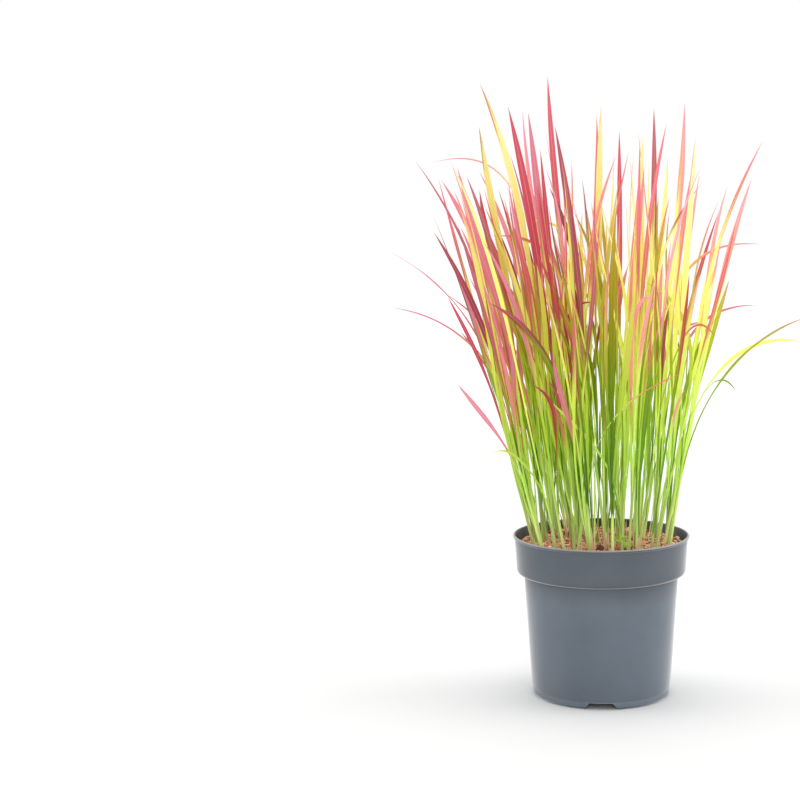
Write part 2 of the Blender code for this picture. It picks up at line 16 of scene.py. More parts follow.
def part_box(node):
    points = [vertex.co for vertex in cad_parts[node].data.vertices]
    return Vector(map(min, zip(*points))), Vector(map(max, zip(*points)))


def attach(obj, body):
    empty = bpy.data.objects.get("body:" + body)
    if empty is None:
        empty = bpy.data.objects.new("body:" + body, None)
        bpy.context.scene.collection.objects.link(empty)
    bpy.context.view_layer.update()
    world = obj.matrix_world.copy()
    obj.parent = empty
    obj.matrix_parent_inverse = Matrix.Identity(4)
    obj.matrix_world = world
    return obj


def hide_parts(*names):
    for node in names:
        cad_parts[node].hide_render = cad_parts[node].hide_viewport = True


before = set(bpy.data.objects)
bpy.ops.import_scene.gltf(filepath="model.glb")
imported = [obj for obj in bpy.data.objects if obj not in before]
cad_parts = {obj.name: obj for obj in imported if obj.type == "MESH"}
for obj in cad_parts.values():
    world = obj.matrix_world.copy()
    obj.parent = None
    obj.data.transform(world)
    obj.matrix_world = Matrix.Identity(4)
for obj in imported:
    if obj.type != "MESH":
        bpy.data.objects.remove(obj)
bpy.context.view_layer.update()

bl_info = {
    "name": "Blood Grass in a Nursery Pot",
    "version": (1, 0, 0),
    "blender": (4, 5, 0),
    "location": "3D View > Sidebar > Grass",
    "description": "Builds the leaves, soil, pot and stage around the packed solids",
    "category": "Object",
}

MM = 0.001
POT_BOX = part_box("pot")

# Pot
POT_HEIGHT = 175.0
RIM_RADIUS = 95.0
LIP_RADIUS = 1.6
COLLAR_TOP_RADIUS = 92.9
COLLAR_LOW_RADIUS = 90.9
COLLAR_BOTTOM = 132.8
COLLAR_CORNER = 5.0
WALL_TOP_RADIUS = 82.8
WALL_LOW_RADIUS = 75.0
WALL = 1.7
FOOT_HEIGHT = 8.0
FOOT_RADIUS = 74.2
FOOT_INNER_RADIUS = 67.0
FOOT_STEP = 1.6
FOOT_CHAMFER = 2.6
FOOT_EDGE = 0.3
FLOOR_THICKNESS = 2.0
FLOOR_CORNER = 1.5
LIP_NECK = 0.4
POT_SEGMENTS = 144
NOTCHES = 4
NOTCH_BOTTOM_WIDTH = 36.0
NOTCH_TOP_WIDTH = 24.6
NOTCH_HEIGHT = 7.0
DRAIN_HOLES = 5
DRAIN_RADIUS = 6.0
DRAIN_CIRCLE = 42.0
DRAIN_SIDES = 16
CUT_MARGIN = 4.0

# Soil
SOIL_TOP = 163.0
SOIL_RELIEF = 1.1

# Leafy stems
SEED = 41
FEET_RADIUS = 80.0
FEET_SPACING = 10.5
FEET_SHIFT = (4.0, 18.0)
STEM_SIDES = 5
STEM_DEPTH = 14.0
STEM_WIDTH = 4.6
STEM_THICKNESS = 3.8
STEM_TAPER = 0.76
STEM_HEIGHT = (48.0, 118.0)
STEM_LEAN = 0.26
STEM_FOLLOW = 0.75
STEM_TURN = 0.6
DRAWS = 160

# Leaves. Leans are in millimetres across for each millimetre up, angles of tips in degrees.
LEAF_THICKNESS = 0.8
LEAF_ROOT_WIDTH = 2.7
LEAF_TWIST = 0.5
LEAF_CLEARANCE = 0.25
TIP_CROWDING = 1.35
SIDE_BOW = 0.018
ARCHED = 45.0
LEADING_START = (0.3, 0.9)
DEPTH_SHIFT = 14.0
COMPANIONS = 3
COMPANION_WIDTH = (4.2, 8.0)
COMPANION_TOPS = (300.0, 600.0, 470.0)
COMPANION_LEAN = (0.20, 0.17)
LEAN_SPREAD = 0.075
TURN_SPREAD = 9.0
ARCHED_SHARE = 0.12
ARCHED_TURN = (35.0, 75.0)
LOW_LEAVES = 0.55
LOW_START = (0.04, 0.25)
HIGH_START = (0.4, 0.95)
LOW_SPREAD = 0.09
REACH_X = 222.0
REACH_Y = 142.0

# Width of a leaf along its length, as parts of its widest place: slender from the stem up,
# widest at two thirds, and drawn to a point.
WIDTH_ALONG = ((0.0, 0.0), (0.34, 0.3), (0.66, 1.0), (0.84, 0.94), (0.94, 0.56), (1.0, 0.0))

# The leading leaf of every leafy stem: the place of its tip, how far the tip is turned from
# upright in degrees with right as plus, the foot of the stem across, the row of the foot
# with front as -1 and back as 1, the width of the leaf and its tone.
LEADING_LEAVES = (
    (-127, 20, 657, -24, -44, 1, 9.0, "gold"),
    (-128, -10, 612, -9, -52, 0, 9.5, "gold"),
    (-181, 30, 574, -105, -40, 1, 4.0, "orange"),
    (-172, 0, 558, -14, -66, 0, 7.0, "orange"),
    (-166, -20, 557, -33, -58, -1, 9.5, "pink"),
    (-152, 20, 569, -15, -60, 1, 8.5, "crimson"),
    (-130, 40, 565, -26, -34, 0, 7.0, "crimson"),
    (-126, -30, 546, -10, -38, -1, 9.0, "crimson"),
    (-177, 10, 501, -30, -68, 0, 8.0, "crimson"),
    (-226, 20, 480, -62, -74, 0, 7.0, "crimson"),
    (-172, 60, 431, -57, -52, 1, 5.0, "pink"),
    (-96, -20, 632, -15, -32, 0, 10.5, "crimson"),
    (-83, 30, 629, -8, -28, 1, 6.0, "pink"),
    (-75, -30, 626, -8, -24, -1, 10.0, "orange"),
    (-64, 40, 587, -5, -20, 1, 7.0, "pink"),
    (-55, 0, 663, -5, -14, 0, 8.0, "pink"),
    (-47, -30, 611, -11, -8, -1, 9.0, "crimson"),
    (-4, 20, 622, 8, -14, 1, 8.0, "pink"),
    (-53, -50, 548, -28, 8, -1, 8.5, "orange"),
    (-98, 60, 556, -10, -36, 1, 4.5, "pink"),
    (1, 0, 632, 1, 4, 0, 9.0, "gold"),
    (20, 30, 605, 1, 16, 1, 7.0, "pink"),
    (44, -20, 603, 5, 20, 0, 8.0, "gold"),
    (56, 10, 629, 5, 36, 0, 8.0, "orange"),
    (68, -30, 613, 10, 28, -1, 8.0, "crimson"),
    (45, -60, 568, 0, 22, -1, 8.5, "crimson"),
    (88, 20, 634, 6, 46, 1, 9.0, "pink"),
    (99, -20, 599, 4, 68, 0, 9.0, "orange"),
    (106, 50, 557, 5, 60, 1, 5.0, "crimson"),
    (92, -40, 557, 8, 50, -1, 7.0, "crimson"),
    (72, 60, 576, 6, 40, 1, 7.0, "gold"),
    (160, 20, 553, 20, 66, 0, 10.5, "pink"),
    (141, -20, 508, 15, 58, -1, 8.0, "crimson"),
    (170, 10, 484, 97, 44, 0, 5.5, "orange"),
    (170, 60, 416, 92, 52, 1, 5.5, "crimson"),
    (119, -60, 391, 150, 42, -1, 5.5, "orange"),
    (226, -10, 412, 78, 70, 0, 8.0, "pink"),
    (213, 30, 380, 100, 72, 1, 7.5, "orange"),
    (139, -80, 337, 140, 56, -1, 4.5, "gold"),
    (83, -110, 361, 68, -26, -1, 6.0, "orange"),
    (99, -60, 293, 34, 76, 0, 6.0, "lime"),
    (-226, -10, 423, -80, -72, 0, 5.0, "orange"),
    (-160, -40, 435, -25, -70, -1, 5.0, "crimson"),
    (-155, 70, 387, -45, -50, 1, 6.0, "pink"),
    (-149, -60, 346, -35, -64, -1, 6.5, "crimson"),
    (-118, -70, 267, -150, -46, -1, 6.0, "lime"),
    (-51, -80, 330, -50, 26, -1, 6.0, "lime"),
    (-5, -60, 430, 95, -30, -1, 6.0, "crimson"),
    (-111, -146, 437, -68, -16, -1, 9.0, "pink"),
    (30, 146, 452, 62, 6, 1, 8.0, "orange"),
    (-20, 60, 520, 3, -20, 1, 7.0, "gold"),
    (15, -40, 500, -6, 14, -1, 7.5, "gold"),
    (62, 40, 535, 8, 58, 1, 8.0, "gold"),
    (-66, -60, 470, -12, -54, -1, 7.0, "lime"),
    (38, -70, 440, 4, 38, -1, 7.0, "gold"),
    (-100, 40, 470, -16, -74, 0, 6.0, "lime"),
)
ROWS = {-1: (-78.0, -16.0), 0: (-36.0, 40.0), 1: (14.0, 78.0)}

# Fine leaves and stems, in millimetres, with their points along and across. A width or a
# height of three numbers is the least, the most and the usual one.
LEAF_TOP = 500.0
LEAF_ROWS = 40
LEAF_COLUMNS = (-1.0, -0.62, -0.14, 0.0, 0.14, 0.62, 1.0)
STEM_ROWS = 12
STEM_AROUND = 12
FINE_LEAF = 0.82
FINE_STEM = 0.7
WIDEST = 0.66
ROOT_WIDTH = 1.6
ROOT_SHAPE = 1.35
TIP_SHAPE = 2.8
RIGHT_NARROWING = 0.08
ROOT_FOLD = 0.85
TIP_FOLD = 0.16
GROOVE = 0.12
EDGE_WAVE = (0.03, 0.09)
WAVE_RATE = 0.09
LEAF_VALUES = ("blush", "height", "across", "along", "hue", "shade", "light")

# Thin leaves of the stems and young shoots between them. The places are where along x the
# middle of the clump begins, where it ends, and where the last thin leaf stands.
THIN_IN_MIDDLE = 3
THIN_PLACES = (-32.0, 42.0, 48.0)
THIN_WIDTH = (2.4, 4.8)
THIN_TOPS = (300.0, 612.0, 575.0)
THIN_START = (0.5, 0.98)
THIN_LEAN = (0.12, 0.12)
THIN_SHIFT = 0.06
THIN_SPREAD = 0.05
THIN_TURN = 1.2
SHOOT_WIDTH = (2.0, 3.6)
SHOOT_TOPS = (60.0, 250.0, 120.0)
SHOOT_DEPTH = 5.0
SHOOT_REACH = 56.0
SHOOT_LEAN = (0.16, 0.12)
SHOOT_SPREAD = 0.06
THIN_FACING = 1.2

# Tones of leaves: how red each is, where along it the red begins, painted shade that darkens
# some lower leaves to a deeper green, how bright each stands, and painted light at the right
BLUSH = {"crimson": 1.0, "pink": 0.75, "orange": 0.5, "gold": -0.1, "lime": -0.3}
BLUSH_DRAW = (1.0, 0.9, 0.8, 0.6, 0.4, 0.1, -0.1, -0.3)
SHOOT_BLUSH = (-0.3, -0.3, -0.1, 0.1)
OWN_BLUSH = 0.45
BLUSH_SPREAD = 0.12
BLUSH_FADE = 0.34
BLUSH_BY_HEIGHT = 0.5
BLUSH_LEVEL = 0.45
RED_START = 0.42
PALE_START = 0.6
START_SPREAD = 0.18
START_BY_SIDE = (0.16, 0.1)
START_IN_MIDDLE = 0.06
DEEP_RED_SHARE = 0.3
DEEP_RED_START = (0.1, 0.3)
HALF_RED = 0.85
MARGIN_RED = 0.25
STREAK_STRENGTH = 1.5
VEINS = 7.0
HIGH_TIP = 560.0
SHADED_SHARE = 0.4
DEEP_SHADE = (0.4, 1.0)
PLAIN_SHADE = (0.0, 0.2)
LEAF_LIGHT = (0.94, 1.24)
SHADED_LIGHT = (0.66, 0.98)
STEM_LIGHT = (0.62, 1.24)
RIGHT_LIGHT = 0.2
RICH = 1.1
PALE = 0.84

# Crumbs, dry sheaths, a cut stub and a weed seedling on the soil. The stub's outline gives
# heights and radii, the seedling's gives places along a leaf and half widths.
SOIL_REACH = 87.5
CRUMB_SEED = 19
CRUMB_SIDES = 5
CRUMB_LENGTH = (0.35, 2.0, 0.7)
CRUMB_WIDTH = (0.35, 0.8)
CRUMB_HEIGHT = (0.2, 0.5)
CRUMB_TILT = 0.35
DRY_SEED = 23
DRY_SHEATHS = 34
DRY_REACH = 42.0
DRY_LENGTH = (14.0, 62.0, 26.0)
DRY_WIDTH = (2.2, 4.2)
DRY_SPLAY = (0.02, 0.22)
DRY_TWIST = 0.8
DRY_DEPTH = 4.0
DRY_ROWS = 10
DRY_COLUMNS = [-1.0, -0.5, 0.0, 0.5, 1.0]
STUB_PLACE = (-1.0, -50.0)
STUB_SIDES = 8
STUB_OUTLINE = ((-4.0, 4.0), (2.0, 4.2), (6.0, 3.4), (8.0, 2.8), (7.4, 0.4))
SEEDLING_PLACE = (22.5, -40.0)
SEEDLING_LEAVES = 7
SEEDLING_OUTLINE = ((0.0, 0.1), (0.25, 0.75), (0.55, 1.0), (0.85, 0.7), (1.0, 0.15))

# Colours, as sRGB values from the foot of a leaf up, or from less red to more
GREEN_STOPS = ((0.0, "#c8d890"), (0.1, "#c4e260"), (0.23, "#c4e448"), (0.37, "#d4e846"),
               (0.5, "#e2e45a"), (0.65, "#e6dc70"), (0.82, "#ecdc86"), (1.0, "#f0dea0"))
# Painted shade: darker greens for leaves shaded inside the clump
SHADED_GREEN_STOPS = ((0.0, "#7c9c46"), (0.1, "#548822"), (0.23, "#548c16"), (0.37, "#7a9a16"),
                    (0.5, "#a49e28"), (0.65, "#bcaa40"), (0.82, "#ceb85c"), (1.0, "#dac67c"))
RED_STOPS = ((0.0, "#bea84a"), (0.25, "#ba824a"), (0.5, "#b9634c"), (0.75, "#cb5258"),
             (1.0, "#c84c60"))
SALMON_STOPS = ((0.0, "#c4b050"), (0.3, "#cc9256"), (0.6, "#d2775a"), (1.0, "#de7076"))
ROSE_STOPS = ((0.0, "#d0c06c"), (0.3, "#d8a474"), (0.6, "#d88578"), (1.0, "#dc8098"))
MAUVE_STOPS = ((0.0, "#847430"), (0.3, "#8a5c38"), (0.6, "#985044"), (1.0, "#b05064"))
WARM_FAMILIES = ((RED_STOPS, 0.0), (SALMON_STOPS, 0.28), (ROSE_STOPS, 0.54),
                 (MAUVE_STOPS, 0.8))
FLECK = "#7c4a30"
MIDRIB = "#f4efb4"
SHEATH_STOPS = ((0.0, "#c8d08c"), (0.04, "#b8cf70"), (0.12, "#a4c452"), (1.0, "#a0c444"))
DRY_STOPS = ((0.2, "#b08868"), (0.5, "#d4b090"), (0.8, "#e8d8b4"))
SEEDLING_STOPS = ((0.3, "#92d42e"), (0.7, "#c4ee58"))
SOIL_STOPS = ((0.2, "#4a2c20"), (0.5, "#8a5c46"), (0.8, "#b88468"))
CHIP_STOPS = ((0.0, "#5a3224"), (0.25, "#a86a4e"), (0.55, "#d4987a"), (0.85, "#e6b698"),
              (1.0, "#ecd0b8"))

# The pot's colours, tones and dusty sheen, with a painted highlight and painted shade. The lip
# band is a length, and the start of the shade under the collar and COLLAR_EDGE are heights over
# the floor, in metres.
POT_STOPS = ((0.3, "#454d56"), (0.7, "#4f5862"))
# Painted shade: the wall darkens toward the collar, and the collar is painted darker
WALL_TONE = 1.2
COLLAR_TONE = 0.74
COLLAR_SHADE_START = 0.11
DUST = 0.8
LIP_BAND = 0.0012
LIP_COLOUR = "#9a9691"
# Painted highlight on the collar's lower edge
EDGE_HIGHLIGHT_COLOUR = "#8e959d"
# Painted shade for the pot's inner wall
INSIDE_SHADE_COLOUR = "#1d1e1e"
COLLAR_EDGE = (0.1326, 0.1331, 0.1338, 0.1348)

# Stage: where each light comes from, its strength, and its breadth in degrees
FLOOR_HALF = 6.0
WORLD_STRENGTH = 1.0
LIGHTS = {"front": ((0.15, -1.0, 0.25), 1.2, 40.0), "top": ((0.0, 0.4, 1.0), 1.4, 60.0),
          "left": ((-1.0, 0.1, 0.45), 1.3, 50.0), "right": ((1.0, 0.1, 0.45), 1.6, 50.0)}


# The rule that places stems and leaves

def width_part(t):
    """Width at t along a leaf, as a part of the widest place, from root to tip."""
    for (a, wa), (b, wb) in zip(WIDTH_ALONG, WIDTH_ALONG[1:]):
        if t <= b:
            s = (t - a) / (b - a)
            s = s * s * (3.0 - 2.0 * s)
            return wa + (wb - wa) * s
    return WIDTH_ALONG[-1][1]


def curve_point(leaf, t):
    """Point and heading at t on a leaf's middle line."""
    p0, p1, p2, p3 = leaf["line"]
    u = 1.0 - t
    place = p0 * u**3 + p1 * (3.0 * u * u * t) + p2 * (3.0 * u * t * t) + p3 * t**3
    heading = (p1 - p0) * u * u + (p2 - p1) * (2.0 * u * t) + (p3 - p2) * t * t
    return place, heading.normalized()


def leaf_frames(leaf, count):
    """(t, place, across, heading) at places that crowd toward the tip, without roll."""
    frames = []
    across, last = leaf["across"], None
    for i in range(count + 1):
        t = 1.0 - (1.0 - i / count) ** TIP_CROWDING
        place, heading = curve_point(leaf, t)
        if last is not None:
            across = last.rotation_difference(heading) @ across
        across = (across - heading * across.dot(heading)).normalized()
        last = heading
        turned_across = Quaternion(heading, leaf["twist"] * t) @ across
        frames.append((t, place, turned_across, heading))
    return frames


def leaf_mesh(leaf, segments, grow):
    """Points and faces of one flat leaf as a thin closed slab that ends in a point."""
    points, faces = [], []
    half_thick = LEAF_THICKNESS / 2.0 + grow
    frames = leaf_frames(leaf, segments)
    for t, place, across, heading in frames[:-1]:
        width = LEAF_ROOT_WIDTH + (leaf["width"] - LEAF_ROOT_WIDTH) * width_part(t)
        if t > 0.5:
            width = leaf["width"] * width_part(t)
        half = width / 2.0 + grow
        face = across.cross(heading)
        for side, lift in ((-1, -1), (1, -1), (1, 1), (-1, 1)):
            points.append(place + across * (side * half) + face * (lift * half_thick))
    tip = len(points)
    points.append(frames[-1][1] + frames[-1][3] * grow)
    faces.append((3, 2, 1))
    faces.append((3, 1, 0))
    for i in range(segments - 1):
        a, b = 4 * i, 4 * i + 4
        # Both broad faces are split along the same diagonal, so a twisted leaf stays whole.
        faces += [(a, a + 1, b + 1), (a, b + 1, b)]
        faces += [(a + 3, b + 2, a + 2), (a + 3, b + 3, b + 2)]
        faces += [(a + 1, a + 2, b + 2), (a + 1, b + 2, b + 1)]
        faces += [(a, b, b + 3), (a, b + 3, a + 3)]
    last = 4 * (segments - 1)
    faces += [(last + j, last + (j + 1) % 4, tip) for j in range(4)]
    return points, faces


def stem_axes(stem):
    """Directions along a stem, across it and through it."""
    along = (stem["top"] - stem["foot"]).normalized()
    across = Vector((math.cos(stem["turn"]), math.sin(stem["turn"]), 0.0))
    across = (across - along * across.dot(along)).normalized()
    return along, across, across.cross(along)


def bar_faces(n):
    """Faces of a closed bar with n points around each end."""
    faces = [tuple(range(n))[::-1], tuple(range(n, 2 * n))]
    return faces + [(i, (i + 1) % n, (i + 1) % n + n, i + n) for i in range(n)]


def stem_mesh(stem, grow):
    """Points and faces of a stem as a slightly flattened tapered prism."""
    points = []
    along, across, face = stem_axes(stem)
    for centre, scale in ((stem["foot"], 1.0), (stem["top"] + along * grow, STEM_TAPER)):
        for i in range(STEM_SIDES):
            a = 2.0 * math.pi * i / STEM_SIDES
            w = (STEM_WIDTH / 2.0 * scale + grow) * math.cos(a)
            d = (STEM_THICKNESS / 2.0 * scale + grow) * math.sin(a)
            points.append(centre + across * w + face * d)
    return points, bar_faces(STEM_SIDES)


def segments_of(leaf):
    """More segments for a leaf that bends more."""
    start, end = curve_point(leaf, 0.0)[1], curve_point(leaf, 1.0)[1]
    bend = math.degrees(start.angle(end)) + math.degrees(abs(leaf["twist"])) * 0.4
    return max(3, min(7, 3 + int(bend / 24.0)))


def draw_foot(rng, row, stems, draw):
    """A foot for a stem on the soil, or None where another is too near."""
    low, high = ROWS[row[5]]
    least, most = FEET_SHIFT
    spread = least + (most - least) * draw / DRAWS
    foot = Vector((row[4] + rng.uniform(-spread, spread), rng.uniform(low, high), SOIL_TOP))
    if math.hypot(foot.x, foot.y) > FEET_RADIUS:
        return None
    if any((foot - stem["foot"]).length < FEET_SPACING for stem in stems):
        return None
    return foot


def make_leaf(rng, start, along, tip, turn, width, facing):
    """A leaf from start along a stem to tip, its tip turned from upright by turn."""
    flat = Vector((tip.x - start.x, tip.y - start.y, 0.0))
    away = flat.normalized() if flat.length > 1.0 else Vector((1.0, 0.0, 0.0))
    sign = 1.0 if turn * away.x >= 0.0 else -1.0
    swing = math.radians(abs(turn))
    heading = away * (sign * math.sin(swing)) + Vector((0.0, 0.0, math.cos(swing)))
    reach = (tip - start).length
    pull = 0.30 + 0.10 * min(1.0, swing / 1.6)
    bow = [Vector((rng.gauss(0.0, 1.0), rng.gauss(0.0, 1.0), 0.0)) * reach * SIDE_BOW
           for _ in range(2)]
    line = (start, start + along * reach * 0.42 + bow[0],
            tip - heading * reach * pull + bow[1], tip)
    across = Vector((math.cos(facing), math.sin(facing), 0.0))
    return {"line": line, "width": width, "across": across,
            "twist": rng.uniform(-LEAF_TWIST, LEAF_TWIST)}


def leading_leaf(rng, row, stem):
    """The leaf that the table gives for a stem, with its depth drawn nearby."""
    shift = rng.uniform(-DEPTH_SHIFT, DEPTH_SHIFT) if abs(row[1]) < REACH_Y else 0.0
    tip = Vector((row[0], row[1] + shift, row[2]))
    along = (stem["top"] - stem["foot"]).normalized()
    start = stem["foot"].lerp(stem["top"], rng.uniform(*LEADING_START))
    facing = rng.uniform(-0.5, 0.5)
    if abs(row[3]) > ARCHED:
        away = math.atan2(tip.y - start.y, tip.x - start.x)
        facing = away + math.pi / 2.0 + rng.choice((-0.6, 0.6))
    return make_leaf(rng, start, along, tip, row[3], row[6], facing)


def tip_turn(rng, lean_x, lean_y, share):
    """How far a tip turns from upright in degrees: a share of the leaf's lean and more."""
    lean = math.degrees(math.atan(math.hypot(lean_x, lean_y)))
    return lean * share + abs(rng.gauss(0.0, TURN_SPREAD))


def companion_leaf(rng, stem):
    """A further leaf of a stem, drawn by rule around the way the stem leans."""
    foot = stem["foot"]
    along = (stem["top"] - foot).normalized()
    low = rng.random() < LOW_LEAVES
    start = foot.lerp(stem["top"], rng.uniform(*(LOW_START if low else HIGH_START)))
    if low:
        side = Vector((rng.gauss(0.0, LOW_SPREAD), rng.gauss(0.0, LOW_SPREAD), 0.0))
        along = (along + side).normalized()
    height = rng.triangular(*COMPANION_TOPS)
    rise = height - start.z
    lean_x = foot.x / FEET_RADIUS * COMPANION_LEAN[0] - 0.05 + rng.gauss(0.0, LEAN_SPREAD)
    lean_y = foot.y / FEET_RADIUS * COMPANION_LEAN[1] + rng.gauss(0.0, LEAN_SPREAD)
    tip = Vector((start.x + lean_x * rise, start.y + lean_y * rise, height))
    tip.x = max(-REACH_X, min(REACH_X, tip.x))
    tip.y = max(-REACH_Y, min(REACH_Y, tip.y))
    turn = tip_turn(rng, lean_x, lean_y, 1.3)
    if rng.random() < ARCHED_SHARE:
        turn += rng.uniform(*ARCHED_TURN)
    turn = math.copysign(turn, lean_x)
    facing = rng.uniform(-0.9, 0.9)
    return make_leaf(rng, start, along, tip, turn, rng.uniform(*COMPANION_WIDTH), facing)


def make_stem(rng, row, foot):
    """A stem that rises from foot toward its leading leaf."""
    rise = row[2] - SOIL_TOP
    slope_x = max(-STEM_LEAN, min(STEM_LEAN, (row[0] - foot.x) / rise * STEM_FOLLOW))
    if abs(row[3]) > ARCHED:
        slope_x *= 0.55
    slope_y = foot.y / FEET_RADIUS * 0.10 + rng.uniform(-0.03, 0.03)
    height = rng.uniform(*STEM_HEIGHT)
    top = foot + Vector((slope_x * height, slope_y * height, height))
    return {"foot": foot, "top": top, "turn": rng.uniform(-STEM_TURN, STEM_TURN),
            "leaves": [], "tone": row[7]}


def as_tree(points, faces):
    """A search tree over one piece."""
    return BVHTree.FromPolygons([Vector(p) for p in points], faces)


def is_clear(tree, trees, own):
    """True when tree touches none of the trees of other stems."""
    for number, others in trees.items():
        if number != own and any(tree.overlap(other) for other in others):
            return False
    return True


def grow_stems():
    """All leafy stems, each clear of the others."""
    rng = random.Random(SEED)
    stems, trees, blades = [], {}, {}
    for number, row in enumerate(LEADING_LEAVES):
        for draw in range(DRAWS):
            foot = draw_foot(rng, row, stems, draw)
            if foot is None:
                continue
            stem = make_stem(rng, row, foot)
            tree = as_tree(*stem_mesh(stem, LEAF_CLEARANCE))
            if is_clear(tree, trees, number):
                break
        else:
            raise RuntimeError(f"stem {number} finds no clear way")
        stems.append(stem)
        trees[number] = [tree]
        blades[number] = []
    for turn in range(1 + COMPANIONS):
        for number, (row, stem) in enumerate(zip(LEADING_LEAVES, stems)):
            for _ in range(DRAWS):
                leaf = companion_leaf(rng, stem) if turn else leading_leaf(rng, row, stem)
                count = segments_of(leaf)
                points, faces = leaf_mesh(leaf, count, LEAF_CLEARANCE)
                outer = [f for f in faces if min(f) >= 4 * (count // 3)]
                tree, blade = as_tree(points, faces), as_tree(points, outer)
                if any(blade.overlap(other) for other in blades[number]):
                    continue
                if is_clear(tree, trees, number):
                    stem["leaves"].append(leaf)
                    trees[number].append(tree)
                    blades[number].append(blade)
                    break
    return stems


def soil_height(x, y):
    """Height of the soil: low crumbly waves."""
    waves = math.sin(x * 0.31 + 1.3) * math.cos(y * 0.27 + 0.4)
    waves += 0.6 * math.sin(x * 0.13 - y * 0.21 + 2.1)
    return SOIL_TOP + SOIL_RELIEF * waves


def place_object(name, data):
    """An object in the scene that shows a mesh, a lamp or a camera."""
    ob = bpy.data.objects.new(name, data)
    bpy.context.scene.collection.objects.link(ob)
    return ob


def mesh_object(name, points, faces, smooth=False):
    """An object at the origin from points in millimetres."""
    mesh = bpy.data.meshes.new(name)
    mesh.from_pydata([Vector(p) * MM for p in points], [], faces)
    mesh.validate()
    mesh.update()
    if smooth:
        mesh.shade_smooth()
    return place_object(name, mesh)


def cut_out(ob, cutters):
    """Cut the cutters out of ob, then remove them."""
    group = bpy.data.collections.new("cutters")
    bpy.context.scene.collection.children.link(group)
    for cutter in cutters:
        group.objects.link(cutter)
    step = ob.modifiers.new("boolean", "BOOLEAN")
    step.operation = "DIFFERENCE"
    step.operand_type = "COLLECTION"
    step.collection = group
    step.solver = "EXACT"
    bpy.context.view_layer.update()
    seen = bpy.context.evaluated_depsgraph_get()
    result = bpy.data.meshes.new_from_object(ob.evaluated_get(seen))
    ob.modifiers.clear()
    ob.data = result
    for cutter in cutters:
        bpy.data.objects.remove(cutter, do_unlink=True)
    bpy.data.collections.remove(group)


def face_out(ob):
    """Turn all faces of ob outward, and give it back."""
    bm = bmesh.new()
    bm.from_mesh(ob.data)
    bmesh.ops.recalc_face_normals(bm, faces=bm.faces)
    bm.to_mesh(ob.data)
    bm.free()
    return ob


def turned(profile, segments):
    """Points and faces of a closed outline of (radius, height) turned about Z."""
    count = len(profile)
    points = []
    for i in range(segments):
        a = 2.0 * math.pi * i / segments
        points += [(r * math.cos(a), r * math.sin(a), z) for r, z in profile]
    faces = []
    for i in range(segments):
        here, there = i * count, (i + 1) % segments * count
        for j in range(count):
            k = (j + 1) % count
            faces.append((here + j, here + k, there + k, there + j))
    return points, faces


def arc(centre_r, centre_z, radius, start, end, steps):
    """Points on an arc in the outline plane, with angles in degrees from +radius."""
    out = []
    for i in range(steps + 1):
        a = math.radians(start + (end - start) * i / steps)
        out.append((centre_r + radius * math.cos(a), centre_z + radius * math.sin(a)))
    return out


def inner_radius(z):
    """Radius of the inside of the collar at height z."""
    low, high = COLLAR_BOTTOM + COLLAR_CORNER, POT_HEIGHT
    part = (z - low) / (high - low)
    return COLLAR_LOW_RADIUS + (COLLAR_TOP_RADIUS - COLLAR_LOW_RADIUS) * part - WALL


def pot_profile():
    """Closed outline of the pot wall, from the lip down the outside and up the inside."""
    lip_z = POT_HEIGHT - LIP_RADIUS
    lip_r = RIM_RADIUS - LIP_RADIUS
    corner = COLLAR_BOTTOM + COLLAR_CORNER
    out = arc(lip_r, lip_z, LIP_RADIUS, 90.0, -60.0, 10)
    out.append((COLLAR_TOP_RADIUS, lip_z - LIP_RADIUS - LIP_NECK))
    out += arc(COLLAR_LOW_RADIUS - COLLAR_CORNER, corner, COLLAR_CORNER, 0.0, -75.0, 10)
    out.append((WALL_TOP_RADIUS, COLLAR_BOTTOM))
    out.append((WALL_LOW_RADIUS, FOOT_HEIGHT + FOOT_STEP))
    out.append((FOOT_RADIUS - FOOT_EDGE, FOOT_HEIGHT))
    out.append((FOOT_RADIUS, FOOT_HEIGHT - FOOT_STEP))
    out.append((FOOT_RADIUS - FOOT_EDGE / 2.0, FOOT_CHAMFER))
    out.append((FOOT_RADIUS - FOOT_CHAMFER, 0.0))
    out.append((FOOT_INNER_RADIUS, 0.0))
    out.append((FOOT_INNER_RADIUS - FOOT_EDGE, FOOT_HEIGHT))
    return out


def inner_outline():
    """Outline of the pot's inside, from the floor up to the collar."""
    floor_top = FOOT_HEIGHT + FLOOR_THICKNESS
    collar = inner_radius(COLLAR_BOTTOM + COLLAR_CORNER)
    return [
        (WALL_LOW_RADIUS - WALL - FLOOR_CORNER, floor_top),
        (WALL_LOW_RADIUS - WALL, floor_top + FLOOR_CORNER),
        (WALL_TOP_RADIUS - WALL, COLLAR_BOTTOM + WALL),
        (collar - WALL, COLLAR_BOTTOM + 1.5 * WALL),
        (collar, COLLAR_BOTTOM + 3.0 * WALL),
    ]


